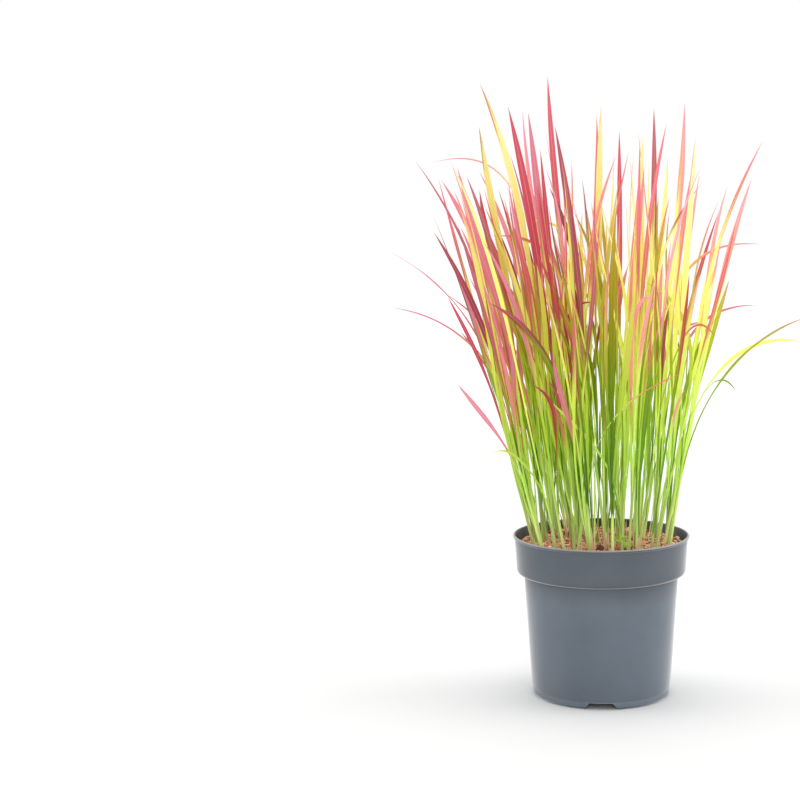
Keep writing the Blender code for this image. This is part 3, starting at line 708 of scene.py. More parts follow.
def make_pot():
    """The pot, with a raised floor, drain holes and notches through the foot ring."""
    outer = pot_profile()
    neck = POT_HEIGHT - 1.6 * LIP_RADIUS
    inside = inner_outline() + [
        (inner_radius(neck), neck),
        (RIM_RADIUS - 2.0 * LIP_RADIUS, POT_HEIGHT - LIP_RADIUS),
        (RIM_RADIUS - 1.7 * LIP_RADIUS, POT_HEIGHT - 0.3 * LIP_RADIUS),
    ]
    middle = [(1.0, FOOT_HEIGHT), (1.0, FOOT_HEIGHT + FLOOR_THICKNESS)]
    profile = outer + middle + inside
    points, faces = turned(profile, POT_SEGMENTS)
    count = len(profile)
    under, over = len(outer), len(outer) + 1
    # The middle of the floor is closed by two small round faces, not left as a hole.
    faces = [f for f in faces if {f[0] % count, f[1] % count} != {under, over}]
    faces.append([i * count + under for i in range(POT_SEGMENTS)][::-1])
    faces.append([i * count + over for i in range(POT_SEGMENTS)])
    pot = face_out(mesh_object("pot", points, faces, smooth=True))
    cutters = [notch_cutter(i) for i in range(NOTCHES)]
    cutters += [drain_cutter(i) for i in range(DRAIN_HOLES)]
    cut_out(pot, cutters)
    return pot


def notch_cutter(index):
    """A wedge that cuts one drain notch through the foot ring."""
    a = math.radians(-90.0 + 360.0 * index / NOTCHES)
    across = Vector((-math.sin(a), math.cos(a), 0.0))
    along = Vector((math.cos(a), math.sin(a), 0.0))
    high = NOTCH_TOP_WIDTH / 2.0
    flare = (NOTCH_BOTTOM_WIDTH - NOTCH_TOP_WIDTH) / 2.0 / NOTCH_HEIGHT
    low = NOTCH_BOTTOM_WIDTH / 2.0 + flare * CUT_MARGIN
    shape = ((-low, -CUT_MARGIN), (low, -CUT_MARGIN), (high, NOTCH_HEIGHT),
             (-high, NOTCH_HEIGHT))
    points = []
    for reach in (FOOT_INNER_RADIUS - 3.0 * CUT_MARGIN, FOOT_RADIUS + CUT_MARGIN):
        for s, z in shape:
            points.append(along * reach + across * s + Vector((0.0, 0.0, z)))
    faces = [(0, 1, 2, 3), (7, 6, 5, 4)]
    faces += [(i, i + 4, (i + 1) % 4 + 4, (i + 1) % 4) for i in range(4)]
    return face_out(mesh_object("notch", points, faces))


def drain_cutter(index):
    """A round bar that cuts one drain hole in the floor."""
    a = 2.0 * math.pi * (index + 0.5) / DRAIN_HOLES
    cx, cy = DRAIN_CIRCLE * math.cos(a), DRAIN_CIRCLE * math.sin(a)
    points = []
    for z in (FOOT_HEIGHT - CUT_MARGIN, FOOT_HEIGHT + FLOOR_THICKNESS + CUT_MARGIN):
        for i in range(DRAIN_SIDES):
            b = 2.0 * math.pi * i / DRAIN_SIDES
            points.append((cx + DRAIN_RADIUS * math.cos(b), cy + DRAIN_RADIUS * math.sin(b), z))
    return face_out(mesh_object("drain", points, bar_faces(DRAIN_SIDES)))


# Looks

def linear(text):
    """A linear colour from an sRGB hex value."""
    parts = [int(text[i:i + 2], 16) / 255.0 for i in (1, 3, 5)]
    parts = [p / 12.92 if p <= 0.04045 else ((p + 0.055) / 1.055) ** 2.4 for p in parts]
    return (*parts, 1.0)


def add(tree, kind, inputs=(), output=0, **settings):
    """Add a node and give back one of its outputs.

    Each input is either a plain value or the output of another node.
    """
    made = tree.nodes.new("ShaderNode" + kind)
    for key, value in settings.items():
        setattr(made, key, value)
    for socket, value in dict(inputs).items():
        if isinstance(value, bpy.types.NodeSocket):
            tree.links.new(value, made.inputs[socket])
        else:
            made.inputs[socket].default_value = value
    return made.outputs[output]


def sums(tree, operation, *values):
    """The result of one sum."""
    return add(tree, "Math", enumerate(values), operation=operation)


def span(tree, value, start, end, low=0.0, high=1.0, kind="LINEAR"):
    """A value between start and end, carried over to between low and high."""
    return add(tree, "MapRange", {"Value": value, "From Min": start, "From Max": end,
                                  "To Min": low, "To Max": high}, interpolation_type=kind)


def blend(tree, part, first, second):
    """A colour between two colours."""
    return add(tree, "Mix", {0: part, 6: first, 7: second}, 2, data_type="RGBA")


def ramp(tree, level, stops):
    """The colour at a level between stops, which are (place, hex) pairs."""
    colour = add(tree, "ValToRGB", {"Fac": level})
    elements = colour.node.color_ramp.elements
    while len(elements) > 1:
        elements.remove(elements[-1])
    for i, (place, text) in enumerate(stops):
        stop = elements[0] if i == 0 else elements.new(place)
        stop.position = place
        stop.color = linear(text)
    return colour


def clouds(tree, place, scale, detail=2.0, rough=0.5):
    """Soft random patches."""
    return add(tree, "TexNoise", {"Vector": place, "Scale": scale, "Detail": detail,
                                  "Roughness": rough})


def fibres(tree, point, sizes, detail, rough=0.5):
    """Soft random streaks along a leaf, as fine across, along and leaf by leaf as sizes say."""
    place = add(tree, "CombineXYZ", {"X": point["across"], "Y": point["along"],
                                     "Z": point["hue"]})
    stretch = add(tree, "Mapping", {"Vector": place, "Scale": sizes})
    return clouds(tree, stretch, 1.0, detail, rough)


def relief(tree, height, strength, distance):
    """The surface direction that a fine relief gives, distance being its height in metres."""
    return add(tree, "Bump", {"Height": height, "Strength": strength, "Distance": distance})


def read(tree, *names):
    """The values that a mesh gives for each point, by name."""
    return {name: add(tree, "Attribute", (), "Fac", attribute_name=name) for name in names}


def blank(name):
    """An empty node material and its tree."""
    mat = bpy.data.materials.new(name)
    mat.use_nodes = True
    mat.node_tree.nodes.clear()
    return mat, mat.node_tree


def finish(mat, surface):
    """The material with its surface joined to an output."""
    out = mat.node_tree.nodes.new("ShaderNodeOutputMaterial")
    mat.node_tree.links.new(surface, out.inputs["Surface"])
    return mat


def living_leaf(glow_share):
    """Living grass leaf, ribbed and thin: satin skin, light glows through it.

    Green at the foot, yellow above, and red that spreads down from the tip in streaks
    between the veins, with a redder margin and a few brown flecks.
    """
    mat, tree = blank("living_grass_leaf")
    point = read(tree, *LEAF_VALUES)
    # Streaks follow the veins: about 1 mm wide and 60 mm long.
    streak = fibres(tree, point, (3.4, 16.0, 61.0), 3.0, 0.62)
    swing = sums(tree, "MULTIPLY_ADD", streak, STREAK_STRENGTH, -0.5 * STREAK_STRENGTH)
    off_middle = sums(tree, "ABSOLUTE", point["across"])
    margin = sums(tree, "POWER", off_middle, 4.0)
    flush = sums(tree, "MULTIPLY_ADD", margin, MARGIN_RED, swing)
    heat = sums(tree, "ADD", point["blush"], flush)
    rise = sums(tree, "MULTIPLY_ADD", streak, 0.22, -0.11)
    level = sums(tree, "ADD", point["height"], rise)
    # Painted shade: a leaf's shade value mixes it toward the darker greens.
    leafy = blend(tree, point["shade"], ramp(tree, level, GREEN_STOPS),
                  ramp(tree, level, SHADED_GREEN_STOPS))
    # Each leaf takes one family of reds, by its hue.
    (stops, _), *others = WARM_FAMILIES
    warm = ramp(tree, heat, stops)
    for stops, start in others:
        chosen = span(tree, point["hue"], start, start + 0.08)
        warm = blend(tree, chosen, warm, ramp(tree, heat, stops))
    body = blend(tree, span(tree, heat, 0.0, 0.4, kind="SMOOTHSTEP"), leafy, warm)
    # Flecks: rare brown spots, 0.5 mm wide and 3 mm long.
    spots = span(tree, fibres(tree, point, (9.0, 420.0, 97.0), 1.0), 0.70, 0.76, 0.0, 0.6)
    spotted = blend(tree, spots, body, linear(FLECK))
    # Veins: fine pale lines along the leaf, one strong line in the middle.
    wave = sums(tree, "COSINE", sums(tree, "MULTIPLY", point["across"], VEINS * math.pi))
    middle = span(tree, off_middle, 0.17, 0.03, kind="SMOOTHSTEP")
    ribbed = blend(tree, sums(tree, "MULTIPLY", middle, 0.2), spotted, linear(MIDRIB))
    mottle = add(tree, "TexNoise", {"Scale": 240.0, "Detail": 2.0})
    both = sums(tree, "MULTIPLY", span(tree, wave, -1.0, 1.0, 0.86, 1.05),
                span(tree, mottle, 0.0, 1.0, 0.86, 1.12))
    # Brighter leaves are paler, and leaves darkened as painted shade are richer.
    rich = span(tree, point["light"], SHADED_LIGHT[0], 1.5, RICH, PALE)
    colour = add(tree, "HueSaturation",
                 {"Saturation": rich, "Value": sums(tree, "MULTIPLY", both, point["light"]),
                  "Color": ribbed})
    # Relief: fine veins and a groove along the middle.
    normal = relief(tree, sums(tree, "MULTIPLY_ADD", wave, 0.35, middle), 0.5, 0.00012)
    gloss = span(tree, streak, 0.0, 1.0, 0.38, 0.62)
    skin = add(tree, "BsdfPrincipled", {"Specular IOR Level": 0.4, "IOR": 1.42,
                                        "Base Color": colour, "Roughness": gloss,
                                        "Normal": normal})
    glow = add(tree, "BsdfTranslucent", {"Color": colour, "Normal": normal})
    return finish(mat, add(tree, "MixShader", {0: glow_share, 1: skin, 2: glow}))


def grass_sheath():
    """Living grass sheath, smooth and ribbed: pale green, wax dulled, straw at the soil."""
    mat, tree = blank("grass_sheath")
    point = read(tree, "across", "along", "hue", "height", "light")
    # Ribs 0.5 mm apart, drawn with streaks 30 mm long.
    streak = fibres(tree, point, (9.0, 30.0, 47.0), 3.0)
    rise = sums(tree, "MULTIPLY_ADD", streak, 0.3, -0.15)
    green = ramp(tree, sums(tree, "ADD", point["height"], rise), SHEATH_STOPS)
    wave = sums(tree, "COSINE", sums(tree, "MULTIPLY", point["across"], 24.0))
    own = sums(tree, "MULTIPLY", span(tree, wave, -1.0, 1.0, 0.88, 1.08), point["light"])
    colour = add(tree, "HueSaturation", {"Value": own, "Color": green})
    skin = add(tree, "BsdfPrincipled", {"Specular IOR Level": 0.4, "Roughness": 0.5,
                                        "Subsurface Weight": 0.25,
                                        "Subsurface Scale": 0.004, "Base Color": colour,
                                        "Normal": relief(tree, wave, 0.5, 0.0001)})
    return finish(mat, skin)


def moulded_plastic(dust):
    """Injection-moulded polypropylene: blue-grey, satin, faint orange-peel grain.

    The lip is paler along a ragged band and a painted highlight lines the collar's lower edge.
    Painted shade darkens the wall under the collar and the inner wall; the collar is darker.
    """
    mat, tree = blank("moulded_polypropylene")
    place = add(tree, "TexCoord", output="Object")
    height = add(tree, "SeparateXYZ", {"Vector": place}, "Z")
    cloud = clouds(tree, place, 14.0, 4.0, 0.6)
    # The lip is paler along a ragged line, about 1 mm below its top.
    ragged = sums(tree, "MULTIPLY_ADD", cloud, LIP_BAND, height)
    lip = span(tree, ragged, POT_BOX[1].z - LIP_BAND, POT_BOX[1].z - LIP_BAND / 6.0,
               kind="SMOOTHSTEP")
    with_lip = blend(tree, sums(tree, "MULTIPLY", lip, 0.75), ramp(tree, cloud, POT_STOPS),
                   linear(LIP_COLOUR))
    # Painted highlight: a pale line 1 mm wide along the rounded lower edge of the collar.
    under = span(tree, height, COLLAR_EDGE[0], COLLAR_EDGE[1], kind="SMOOTHSTEP")
    above = span(tree, height, COLLAR_EDGE[3], COLLAR_EDGE[2], kind="SMOOTHSTEP")
    edge_highlight = sums(tree, "MULTIPLY", sums(tree, "MULTIPLY", under, above), 0.55)
    highlighted = blend(tree, edge_highlight, with_lip, linear(EDGE_HIGHLIGHT_COLOUR))
    # Painted shade: the inner wall is painted near black, where the inside of the pot lies in
    # shade.
    flat = add(tree, "VectorMath", {0: place, 1: (1.0, 1.0, 0.0)}, operation="MULTIPLY")
    facing = add(tree, "VectorMath", {0: flat, 1: add(tree, "NewGeometry", output="Normal")},
                 "Value", operation="DOT_PRODUCT")
    inside_shaded = blend(tree, span(tree, facing, -0.02, -0.07), highlighted, linear(INSIDE_SHADE_COLOUR))
    # Painted shade: the wall's tone falls over about 22 mm up to the collar's underside, where
    # the collar shades it, and the collar is painted darker than the wall.
    shade_under_collar = span(tree, height, COLLAR_SHADE_START, COLLAR_EDGE[0], WALL_TONE, COLLAR_TONE)
    toned = add(tree, "HueSaturation", {"Value": shade_under_collar, "Color": inside_shaded})
    grain = relief(tree, clouds(tree, place, 900.0), 0.12, 0.0001)
    skin = add(tree, "BsdfPrincipled",
               {"IOR": 1.49, "Specular IOR Level": 0.55, "Sheen Weight": dust,
                "Sheen Roughness": 0.3, "Base Color": toned,
                "Roughness": span(tree, cloud, 0.0, 1.0, 0.34, 0.52), "Normal": grain})
    return finish(mat, skin)


def bark_compost():
    """Composted bark and coir: matt, crumbly, warm brown with dark damp gaps."""
    mat, tree = blank("bark_compost")
    place = add(tree, "TexCoord", output="Object")
    crumb = add(tree, "TexVoronoi", {"Vector": place, "Scale": 330.0}, "Distance")
    patch = clouds(tree, place, 60.0, 5.0)
    tone = blend(tree, 0.5, crumb.node.outputs["Color"], patch.node.outputs["Color"])
    base = ramp(tree, add(tree, "RGBToBW", {"Color": tone}), SOIL_STOPS)
    skin = add(tree, "BsdfPrincipled", {"Roughness": 0.93, "Specular IOR Level": 0.15,
                                        "Base Color": base,
                                        "Normal": relief(tree, crumb, 0.9, 0.0012)})
    return finish(mat, skin)


def bark_chip():
    """Broken bark and fibre crumbs: each its own brown, with grain along the crumb."""
    mat, tree = blank("bark_chip")
    place = add(tree, "TexCoord", output="Object")
    grain = clouds(tree, place, 520.0, 4.0, 0.7)
    shift = sums(tree, "MULTIPLY_ADD", grain, 0.5, -0.25)
    level = sums(tree, "ADD", read(tree, "tone")["tone"], shift)
    skin = add(tree, "BsdfPrincipled", {"Roughness": 0.88, "Specular IOR Level": 0.2,
                                        "Base Color": ramp(tree, level, CHIP_STOPS),
                                        "Normal": relief(tree, grain, 0.7, 0.0004)})
    return finish(mat, skin)


def dry_sheath():
    """Dead grass sheath: papery, matt, straw and pinkish brown, fibres along it."""
    mat, tree = blank("dry_grass_sheath")
    point = read(tree, "across", "along", "hue")
    fibre = fibres(tree, point, (5.0, 40.0, 23.0), 4.0, 0.7)
    base = ramp(tree, fibre, DRY_STOPS)
    skin = add(tree, "BsdfPrincipled", {"Roughness": 0.8, "Specular IOR Level": 0.2,
                                        "Base Color": base,
                                        "Normal": relief(tree, fibre, 0.6, 0.0002)})
    glow = add(tree, "BsdfTranslucent", {"Color": base})
    return finish(mat, add(tree, "MixShader", {0: 0.25, 1: skin, 2: glow}))


def seedling_leaf():
    """Young weed leaf: soft, bright yellow-green in fine patches."""
    mat, tree = blank("seedling_leaf")
    place = add(tree, "TexCoord", output="Object")
    base = ramp(tree, clouds(tree, place, 300.0, 3.0), SEEDLING_STOPS)
    skin = add(tree, "BsdfPrincipled", {"Roughness": 0.5, "Specular IOR Level": 0.35,
                                        "Base Color": base})
    glow = add(tree, "BsdfTranslucent", {"Color": base})
    return finish(mat, add(tree, "MixShader", {0: 0.35, 1: skin, 2: glow}))


def matt_paper(colour):
    """Matt studio paper: even and pale, with a trace of tooth."""
    mat, tree = blank("matt_paper")
    place = add(tree, "TexCoord", output="Object")
    tint = span(tree, clouds(tree, place, 30.0), 0.0, 1.0, 0.995, 1.005)
    base = add(tree, "HueSaturation", {"Value": tint, "Color": colour})
    skin = add(tree, "BsdfPrincipled", {"Roughness": 0.95, "Specular IOR Level": 0.0,
                                        "Base Color": base})
    return finish(mat, skin)


# Meshes

class Skin:
    """Gathers the points, faces, point values, map places and material numbers of a mesh."""

    def __init__(self, *names):
        self.points, self.faces, self.kinds, self.places = [], [], [], []
        self.values = {name: [] for name in names}

    def grid(self, rows, values, kind, strip, closed=False):
        """Add a grid of points by rows; strip is its place across the map."""
        start, wide = len(self.points), len(rows[0])
        for row, row_values in zip(rows, values):
            self.points += row
            for name in self.values:
                self.values[name] += row_values[name]
        left, right = strip
        for r in range(len(rows) - 1):
            for c in range(wide if closed else wide - 1):
                d = (c + 1) % wide
                a, b = start + r * wide, start + (r + 1) * wide
                self.faces.append((a + c, a + d, b + d, b + c))
                self.kinds.append(kind)
                span = wide if closed else wide - 1
                u0 = left + (right - left) * c / span
                u1 = left + (right - left) * (c + 1) / span
                v0, v1 = r / (len(rows) - 1), (r + 1) / (len(rows) - 1)
                self.places += [(u0, v0), (u1, v0), (u1, v1), (u0, v1)]

    def make(self, name, materials, smooth=True):
        """The object, with its values as attributes and its map."""
        mesh = bpy.data.meshes.new(name)
        mesh.from_pydata([Vector(p) * MM for p in self.points], [], self.faces)
        for mat in materials:
            mesh.materials.append(mat)
        mesh.polygons.foreach_set("material_index", self.kinds)
        if self.places:
            layer = mesh.uv_layers.new(name="OFBake")
            layer.data.foreach_set("uv", [x for place in self.places for x in place])
        for key, data in self.values.items():
            mesh.attributes.new(key, "FLOAT", "POINT").data.foreach_set("value", data)
        mesh.update()
        if smooth:
            mesh.shade_smooth()
        return place_object(name, mesh)


def level_values(count, **values):
    """The same value of each kind for count points."""
    return {name: [value] * count for name, value in values.items()}


def fine_width(leaf, t):
    """Width of a fine leaf at t, from its slender root to its drawn tip."""
    foot_side = leaf["line"][0].x / FEET_RADIUS
    widest = leaf["width"] * (FINE_LEAF - RIGHT_NARROWING * max(0.0, foot_side))
    if t <= WIDEST:
        return ROOT_WIDTH + (widest - ROOT_WIDTH) * width_part(t) ** ROOT_SHAPE
    return widest * (1.0 - ((t - WIDEST) / (1.0 - WIDEST)) ** TIP_SHAPE)


def add_leaf(skin, leaf, rng, strip):
    """One fine leaf: a channelled ribbon with a middle groove, waved edges and a long tip."""
    rows, values = [], []
    side, hue = rng.uniform(-1.0, 1.0), rng.random()
    # Painted shade: some lower leaves are darker and a deeper green, as if shaded in the clump.
    shaded = rng.random() < SHADED_SHARE and leaf["line"][3].z < HIGH_TIP
    shade = rng.uniform(*(DEEP_SHADE if shaded else PLAIN_SHADE))
    foot_side = leaf["line"][0].x / FEET_RADIUS
    light = rng.uniform(*(SHADED_LIGHT if shaded else LEAF_LIGHT))
    # Painted light: leaves rooted toward the right of the clump are made brighter.
    light *= 1.0 + RIGHT_LIGHT * max(0.0, foot_side + 0.15)
    reach = blush_reach(rng, leaf["blush"], foot_side)
    wave, phase = rng.uniform(*EDGE_WAVE), rng.uniform(0.0, 6.0)
    length = (leaf["line"][3] - leaf["line"][0]).length
    for t, place, across, heading in leaf_frames(leaf, LEAF_ROWS):
        half = max(0.05, fine_width(leaf, t) / 2.0)
        face = across.cross(heading)
        fold = half * (ROOT_FOLD * (1.0 - t) ** 3 + TIP_FOLD)
        row = []
        for u in LEAF_COLUMNS:
            lift = fold * (abs(u) - 0.45) + GROOVE * half * (abs(u) < 0.05)
            lift += wave * half * abs(u) * math.sin(t * length * WAVE_RATE + phase + u)
            row.append(place + across * (u * half) + face * lift)
        rows.append(row)
        high = (place.z - SOIL_TOP) / LEAF_TOP
        heat = (t - reach) / BLUSH_FADE + BLUSH_BY_HEIGHT * (high - BLUSH_LEVEL)
        row_values = level_values(len(LEAF_COLUMNS), height=high, along=t * length * MM,
                                  hue=hue, shade=shade, light=light)
        row_values["across"] = list(LEAF_COLUMNS)
        row_values["blush"] = [heat + HALF_RED * side * u * t for u in LEAF_COLUMNS]
        values.append(row_values)
    skin.grid(rows, values, 0, strip)


def add_stem(skin, stem, rng, strip):
    """One fine stem: wrapped sheaths with a slight swell, closing around the leaves."""
    across, face = stem_axes(stem)[1:]
    length = (stem["top"] - stem["foot"]).length
    sunk = STEM_DEPTH * 0.6 / length
    hue, light = rng.random(), rng.uniform(*STEM_LIGHT)
    rows, values = [], []
    for r in range(STEM_ROWS + 1):
        s = -sunk + (1.0 + sunk) * r / STEM_ROWS
        scale = 1.0 + (STEM_TAPER - 1.0) * max(0.0, s)
        scale *= 1.0 - 0.75 * max(0.0, (s - 0.9) / 0.1) ** 2
        centre = stem["foot"].lerp(stem["top"], s)
        row = []
        for i in range(STEM_AROUND):
            a = 2.0 * math.pi * i / STEM_AROUND
            lap = 1.0 + 0.10 * ((i + 2.0 * s * STEM_AROUND / 5.0) % STEM_AROUND) / STEM_AROUND
            w = STEM_WIDTH / 2.0 * scale * lap * math.cos(a) * FINE_STEM
            d = STEM_THICKNESS / 2.0 * scale * lap * math.sin(a) * FINE_STEM
            row.append(centre + across * w + face * d)
        rows.append(row)
        row_values = level_values(STEM_AROUND, blush=0.0, along=s * length * MM, hue=hue,
                                  height=(centre.z - SOIL_TOP) / LEAF_TOP, shade=0.0,
                                  light=light)
        row_values["across"] = [i / STEM_AROUND for i in range(STEM_AROUND)]
        values.append(row_values)
    skin.grid(rows, values, 1, strip, closed=True)


def blush_of(rng, tone, turn):
    """How red a leaf is: the leading one as its stem's tone, the others drawn around it."""
    own = BLUSH[tone]
    if turn == 0:
        return own
    mixed = OWN_BLUSH * own + (1.0 - OWN_BLUSH) * rng.choice(BLUSH_DRAW)
    return max(-0.3, min(1.0, mixed + rng.uniform(-BLUSH_SPREAD, BLUSH_SPREAD)))


def blush_reach(rng, blush, side):
    """Where along a leaf its red begins, from 0 at the root to 1 at the tip.

    The red begins lower at the left of the clump, and higher at its right and in its middle.
    """
    reach = RED_START + PALE_START * (1.0 - blush) + rng.uniform(-START_SPREAD, START_SPREAD)
    reach += START_BY_SIDE[side > 0.0] * side
    reach += START_IN_MIDDLE * (1.0 - min(1.0, abs(side) * 1.6))
    if rng.random() < DEEP_RED_SHARE * max(0.0, blush):
        reach -= rng.uniform(*DEEP_RED_START)
    return reach


def thin_share(x):
    """How many thin leaves a stem at x has for each on an outer stem: none at the right."""
    start, end, last = THIN_PLACES
    if x > last:
        return 0
    return THIN_IN_MIDDLE if start < x < end else 1


def thin_leaf(rng, stem):
    """A thin young leaf that grows between the others of a stem."""
    foot, top = stem["foot"], stem["top"]
    side = Vector((rng.gauss(0.0, LOW_SPREAD), rng.gauss(0.0, LOW_SPREAD), 0.0))
    along = ((top - foot).normalized() + side).normalized()
    start = foot.lerp(top, rng.uniform(*THIN_START))
    height = rng.triangular(*THIN_TOPS)
    rise = height - start.z
    lean_x = foot.x / FEET_RADIUS * THIN_LEAN[0] - THIN_SHIFT + rng.gauss(0.0, THIN_SPREAD)
    lean_y = foot.y / FEET_RADIUS * THIN_LEAN[1] + rng.gauss(0.0, THIN_SPREAD)
    tip = Vector((start.x + lean_x * rise, start.y + lean_y * rise, height))
    turn = math.copysign(tip_turn(rng, lean_x, lean_y, THIN_TURN), lean_x)
    return make_leaf(rng, start, along, tip, turn, rng.uniform(*THIN_WIDTH),
                     rng.uniform(-THIN_FACING, THIN_FACING))


def young_shoot(rng, x, y):
    """A young shoot: one rolled leaf that comes straight out of the soil."""
    start = Vector((x, y, soil_height(x, y) - SHOOT_DEPTH))
    height = rng.triangular(*SHOOT_TOPS)
    lean_x = x / FEET_RADIUS * SHOOT_LEAN[0] + rng.gauss(0.0, SHOOT_SPREAD)
    lean_y = y / FEET_RADIUS * SHOOT_LEAN[1] + rng.gauss(0.0, SHOOT_SPREAD)
    rise = Vector((lean_x, lean_y, 1.0))
    turn = math.copysign(tip_turn(rng, lean_x, lean_y, 1.0), lean_x)
    return make_leaf(rng, start, rise.normalized(), start + rise * height, turn,
                     rng.uniform(*SHOOT_WIDTH), rng.uniform(-THIN_FACING, THIN_FACING))


# Operators

class GRASS_PG_plant(bpy.types.PropertyGroup):
    """Leaves and stems."""
    glow: FloatProperty(name="Glow", description="Share of light that passes through a leaf",
                        default=0.47, min=0.0, max=1.0, subtype="FACTOR")
    seed: IntProperty(name="Tone seed", description="Seed of the leaves' tones", default=7)
    thin: IntProperty(name="Thin leaves", description="Thin leaves on each outer stem",
                      default=1)
    shoots: IntProperty(name="Young shoots", description="Shoots out of the soil",
                        default=22)


class GRASS_PG_soil(bpy.types.PropertyGroup):
    """Soil surface."""
    chips: IntProperty(name="Crumbs", description="Bark crumbs on the soil", default=4200)
    chip_size: FloatProperty(name="Crumb size", description="Usual length of a bark crumb",
                             default=0.0036, unit="LENGTH")


class GRASS_PG_stage(bpy.types.PropertyGroup):
    """Camera, lights and floor."""
    distance: FloatProperty(name="Distance", description="Camera to the pot's axis",
                            default=2.208, unit="LENGTH")
    height: FloatProperty(name="Height", description="Camera over the floor",
                          default=0.602, unit="LENGTH")
    lens: FloatProperty(name="Lens", description="Focal length in millimetres",
                        default=93.19, unit="CAMERA")
    yaw: FloatProperty(name="Yaw", description="Turn of the camera to the left",
                       default=0.0974, subtype="ANGLE")
    pitch: FloatProperty(name="Pitch", description="Tilt of the camera down",
                         default=0.1262, subtype="ANGLE")
    roll: FloatProperty(name="Roll", description="Roll of the camera",
                        default=-0.0135, subtype="ANGLE")
    floor: FloatVectorProperty(name="Floor", description="Colour of the floor paper",
                               default=(0.59, 0.59, 0.59), subtype="COLOR")


class GRASS_OT_leafy_stems(bpy.types.Operator):
    """Build a fine leafy stem over each solid one."""
    bl_idname = "grass.leafy_stems"
    bl_label = "Leafy stems"

    def execute(self, context):
        settings = context.scene.grass_plant
        stems = grow_stems()
        rng, thin = random.Random(settings.seed), random.Random(settings.seed + 1)
        materials = [living_leaf(settings.glow), grass_sheath()]
        for number, stem in enumerate(stems):
            skin = Skin(*LEAF_VALUES)
            more = settings.thin * thin_share(stem["foot"].x)
            leaves = stem["leaves"] + [thin_leaf(thin, stem) for _ in range(more)]
            count = len(leaves) + 1
            for turn, leaf in enumerate(leaves):
                leaf["blush"] = blush_of(rng, stem["tone"], turn)
                add_leaf(skin, leaf, rng, (turn / count, (turn + 0.94) / count))
            add_stem(skin, stem, rng, ((count - 1) / count, (count - 0.06) / count))
            ob = skin.make(f"leafy_stem_{number + 1:02d}", materials)
            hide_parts(f"tiller_{number + 1:02d}")
            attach(ob, "root")
        self.shoots(settings, stems, materials)
        return {"FINISHED"}

    def shoots(self, settings, stems, materials):
        """The young shoots between the stems, all in one piece."""
        rng = random.Random(settings.seed + 2)
        skin = Skin(*LEAF_VALUES)
        places = spare_places(rng, stems, settings.shoots, SHOOT_REACH, STEM_WIDTH)
        for number, (x, y) in enumerate(places):
            leaf = young_shoot(rng, x, y)
            leaf["blush"] = rng.choice(SHOOT_BLUSH)
            strip = number / len(places), (number + 0.94) / len(places)
            add_leaf(skin, leaf, rng, strip)
        ob = skin.make("young_shoots", materials)
        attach(ob, "root")


def spare_places(rng, stems, count, reach, gap):
    """Places on the soil that keep a gap to every stem."""
    places = []
    while len(places) < count:
        r, a = reach * math.sqrt(rng.random()), rng.uniform(0.0, 2.0 * math.pi)
        x, y = r * math.cos(a), r * math.sin(a)
        if all(math.hypot(x - s["foot"].x, y - s["foot"].y) > gap for s in stems):
            places.append((x, y))
    return places


class GRASS_OT_soil(bpy.types.Operator):
    """Build the soil surface and the bark crumbs on it."""
    bl_idname = "grass.soil"
    bl_label = "Soil"

    def execute(self, context):
        settings = context.scene.grass_soil
        rng = random.Random(CRUMB_SEED)
        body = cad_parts["soil"]
        body.data.materials.clear()
        body.data.materials.append(bark_compost())
        skin = Skin("tone")
        gap = STEM_WIDTH / 2.0 + 1.2
        for x, y in spare_places(rng, grow_stems(), settings.chips, SOIL_REACH, gap):
            self.add_chip(skin, rng, x, y, settings.chip_size / MM)
        chips = skin.make("bark_crumbs", [bark_chip()], smooth=False)
        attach(chips, "root")
        return {"FINISHED"}

    def add_chip(self, skin, rng, x, y, size):
        """One rough crumb: a squashed lump with a ring of corners below and one above."""
        length = size * rng.triangular(*CRUMB_LENGTH)
        width, height = length * rng.uniform(*CRUMB_WIDTH), length * rng.uniform(*CRUMB_HEIGHT)
        spin = Quaternion((0.0, 0.0, 1.0), rng.uniform(0.0, 6.28))
        tilt = Quaternion((1.0, 0.0, 0.0), rng.gauss(0.0, CRUMB_TILT))
        lean = Quaternion((0.0, 1.0, 0.0), rng.gauss(0.0, CRUMB_TILT))
        centre = Vector((x, y, soil_height(x, y) + height * rng.uniform(0.1, 0.9)))
        start, n = len(skin.points), CRUMB_SIDES
        for z, turn in ((-0.5, 0.0), (0.5, 0.5)):
            for k in range(n):
                a = (k + turn) * math.pi * 2.0 / n
                p = Vector((math.cos(a) * length / 2.0, math.sin(a) * width / 2.0, z * height))
                p = p * rng.uniform(0.7, 1.2)
                skin.points.append(centre + spin @ (tilt @ (lean @ p)))
        skin.values["tone"] += [rng.random()] * (2 * n)
        skin.faces.append(tuple(start + n - 1 - k for k in range(n)))
        skin.faces.append(tuple(start + n + k for k in range(n)))
        for k in range(n):
            j = (k + 1) % n
            skin.faces += [(start + k, start + j, start + n + k),
                           (start + j, start + n + j, start + n + k)]
        skin.kinds += [0] * (2 * n + 2)


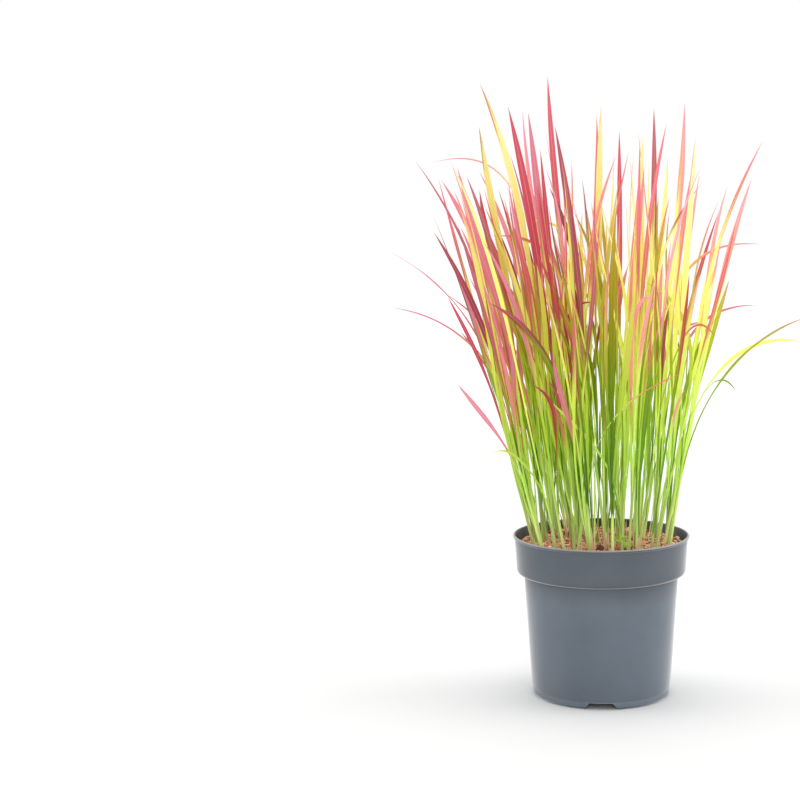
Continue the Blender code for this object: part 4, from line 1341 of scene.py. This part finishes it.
class GRASS_OT_litter(bpy.types.Operator):
    """Build the dead sheaths around the feet of the stems, a cut stub and a weed seedling."""
    bl_idname = "grass.litter"
    bl_label = "Dry sheaths"

    def execute(self, context):
        rng = random.Random(DRY_SEED)
        stems = [s for s in grow_stems() if abs(s["foot"].x) < DRY_REACH]
        skin = Skin("across", "along", "hue")
        for number in range(DRY_SHEATHS):
            strip = number / DRY_SHEATHS, (number + 0.9) / DRY_SHEATHS
            self.add_sheath(skin, rng, rng.choice(stems), strip)
        self.stub(skin, rng)
        ob = skin.make("dry_sheaths", [dry_sheath(), bark_chip()])
        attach(ob, "root")
        self.seedling(rng)
        return {"FINISHED"}

    def add_sheath(self, skin, rng, stem, strip):
        """One dead sheath that splays out from the foot of a stem."""
        a = rng.uniform(0.0, 2.0 * math.pi)
        away = Vector((math.cos(a), math.sin(a), 0.0))
        foot = stem["foot"] + away * (STEM_WIDTH / 2.0 + 0.6) - Vector((0.0, 0.0, DRY_DEPTH))
        length = rng.triangular(*DRY_LENGTH)
        along = stem_axes(stem)[0]
        top = foot + along * length + away * length * rng.uniform(*DRY_SPLAY)
        heading = (top - foot).normalized()
        leaf = {"line": (foot, foot + along * length * 0.4, top - heading * length * 0.3, top),
                "width": rng.uniform(*DRY_WIDTH), "twist": rng.uniform(-DRY_TWIST, DRY_TWIST),
                "across": Vector((-away.y, away.x, 0.0))}
        hue = rng.random()
        rows, values = [], []
        for t, place, across, heading in leaf_frames(leaf, DRY_ROWS):
            half = leaf["width"] / 2.0 * (1.0 - t**2.5 * 0.9)
            face = across.cross(heading)
            rows.append([place + across * (u * half) + face * (abs(u) * half * 0.5)
                         for u in DRY_COLUMNS])
            values.append({"across": DRY_COLUMNS,
                           **level_values(len(DRY_COLUMNS), along=t * length * MM, hue=hue)})
        skin.grid(rows, values, 0, strip)

    def stub(self, skin, rng):
        """The cut stub of an old stem in the middle of the soil."""
        x, y = STUB_PLACE
        floor = soil_height(x, y)
        around = [2.0 * math.pi * k / STUB_SIDES for k in range(STUB_SIDES)]
        rows, values = [], []
        for r, (z, radius) in enumerate(STUB_OUTLINE):
            rows.append([Vector((x + radius * rng.uniform(0.85, 1.15) * math.cos(a),
                                 y + radius * rng.uniform(0.85, 1.15) * math.sin(a),
                                 floor + z)) for a in around])
            values.append({"across": [math.sin(a) for a in around],
                           **level_values(STUB_SIDES, along=r * 0.003, hue=0.1)})
        skin.grid(rows, values, 1, (0.0, 0.01), closed=True)

    def seedling(self, rng):
        """A small weed seedling: round leaves on thin stalks."""
        x, y = SEEDLING_PLACE
        foot = Vector((x, y, soil_height(x, y) - 2.0))
        skin = Skin()
        for number in range(SEEDLING_LEAVES):
            a = 2.0 * math.pi * number / SEEDLING_LEAVES + rng.uniform(-0.3, 0.3)
            out = Vector((math.cos(a), math.sin(a), 0.0))
            rise = 6.0 + 12.0 * number / SEEDLING_LEAVES
            top = foot + out * rng.uniform(2.5, 5.0) + Vector((0.0, 0.0, rise))
            across = Vector((-out.y, out.x, 0.0))
            rows = [[place - across * 0.3, place + out * 0.3, place + across * 0.3]
                    for place in (foot, foot.lerp(top, 0.5) - out * 0.8, top)]
            skin.grid(rows, [{}] * len(rows), 0, (0.0, 0.1), closed=True)
            face = (Vector((0.0, 0.0, 1.0)) - out * rng.uniform(0.2, 1.4)).normalized()
            ahead = (out - face * out.dot(face)).normalized()
            radius = rng.uniform(2.4, 3.6)
            rows = []
            for t, half in SEEDLING_OUTLINE:
                place = top + ahead * (2.0 * radius * t)
                rows.append([place + across * (u * half * radius)
                             + face * (abs(u) * 0.3 * radius) for u in (-1.0, 0.0, 1.0)])
            skin.grid(rows, [{}] * len(rows), 0, (0.1, 1.0))
        ob = skin.make("weed_seedling", [seedling_leaf()])
        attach(ob, "root")


class GRASS_OT_pot(bpy.types.Operator):
    """Build the fine pot over the solid one."""
    bl_idname = "grass.pot"
    bl_label = "Pot"

    def execute(self, context):
        pot = make_pot()
        pot.name = "nursery_pot"
        pot.data.materials.append(moulded_plastic(DUST))
        pot.data.materials.append(moulded_plastic(0.0))
        # Painted shade: faces that look inward take a copy without sheen, so the inside looks
        # darker.
        for face in pot.data.polygons:
            out = face.normal.xy.dot(face.center.xy) / face.center.xy.length
            face.material_index = int(out < -0.3)
        pot.data.shade_smooth()
        pot.data.set_sharp_from_angle(angle=math.radians(38.0))
        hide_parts("pot")
        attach(pot, "root")
        return {"FINISHED"}


class GRASS_OT_stage(bpy.types.Operator):
    """Build the floor, the lights and the camera."""
    bl_idname = "grass.stage"
    bl_label = "Stage"

    def execute(self, context):
        settings = context.scene.grass_stage
        bm = bmesh.new()
        bmesh.ops.create_grid(bm, x_segments=1, y_segments=1, size=FLOOR_HALF)
        mesh = bpy.data.meshes.new("floor")
        bm.to_mesh(mesh)
        bm.free()
        mesh.materials.append(matt_paper((*settings.floor, 1.0)))
        floor = place_object("floor", mesh)
        for name, setting in LIGHTS.items():
            self.light(name, setting)
        world = bpy.data.worlds.new("studio")
        world.use_nodes = True
        sky = world.node_tree.nodes["Background"]
        sky.inputs["Color"].default_value = linear("#ffffff")
        sky.inputs["Strength"].default_value = WORLD_STRENGTH
        context.scene.world = world
        context.scene.view_settings.view_transform = "Standard"
        self.camera(context, settings)
        return {"FINISHED"}

    def light(self, name, setting):
        """A broad, far, soft light, so that the floor is equally bright everywhere."""
        towards, strength, breadth = setting
        lamp = bpy.data.lights.new(name, "SUN")
        lamp.energy, lamp.angle = strength, math.radians(breadth)
        ob = place_object(name, lamp)
        ob.rotation_euler = Vector(towards).to_track_quat("Z", "Y").to_euler()

    def camera(self, context, settings):
        """The photograph's view: from the front, a little above the rim."""
        sy, cy = math.sin(settings.yaw), math.cos(settings.yaw)
        sp, cp = math.sin(settings.pitch), math.cos(settings.pitch)
        ahead = Vector((-sy * cp, cy * cp, -sp))
        right = Vector((cy, sy, 0.0))
        up = right.cross(ahead)
        sr, cr = math.sin(settings.roll), math.cos(settings.roll)
        right, up = right * cr + up * sr, up * cr - right * sr
        turn = Matrix((right, up, -ahead)).transposed().to_4x4()
        data = bpy.data.cameras.new("photo_view")
        data.lens, data.sensor_width, data.sensor_fit = settings.lens, 36.0, "HORIZONTAL"
        data.clip_end = 50.0
        ob = place_object("photo_view", data)
        ob.matrix_world = Matrix.Translation((0.0, -settings.distance, settings.height)) @ turn
        context.scene.camera = ob


class GRASS_PT_panel(bpy.types.Panel):
    """Lists the plant's operators in the sidebar."""
    bl_idname = "GRASS_PT_panel"
    bl_label = "Blood Grass"
    bl_space_type = "VIEW_3D"
    bl_region_type = "UI"
    bl_category = "Grass"

    def draw(self, context):
        for operator in OPERATORS:
            self.layout.operator(operator.bl_idname)
        for group in ("grass_plant", "grass_soil", "grass_stage"):
            settings = getattr(context.scene, group)
            for key in settings.__annotations__:
                self.layout.prop(settings, key)


OPERATORS = (GRASS_OT_stage, GRASS_OT_pot, GRASS_OT_soil, GRASS_OT_leafy_stems,
             GRASS_OT_litter)
GROUPS = {"grass_plant": GRASS_PG_plant, "grass_soil": GRASS_PG_soil,
          "grass_stage": GRASS_PG_stage}


def register():
    for name, group in GROUPS.items():
        bpy.utils.register_class(group)
        setattr(bpy.types.Scene, name, PointerProperty(type=group))
    for cls in (*OPERATORS, GRASS_PT_panel):
        bpy.utils.register_class(cls)


def unregister():
    for cls in (GRASS_PT_panel, *reversed(OPERATORS)):
        bpy.utils.unregister_class(cls)
    for name, group in GROUPS.items():
        delattr(bpy.types.Scene, name)
        bpy.utils.unregister_class(group)


def main():
    """Build everything in order."""
    register()
    for operator in OPERATORS:
        group, name = operator.bl_idname.split(".")
        getattr(getattr(bpy.ops, group), name)()


if __name__ == "__main__":
    main()
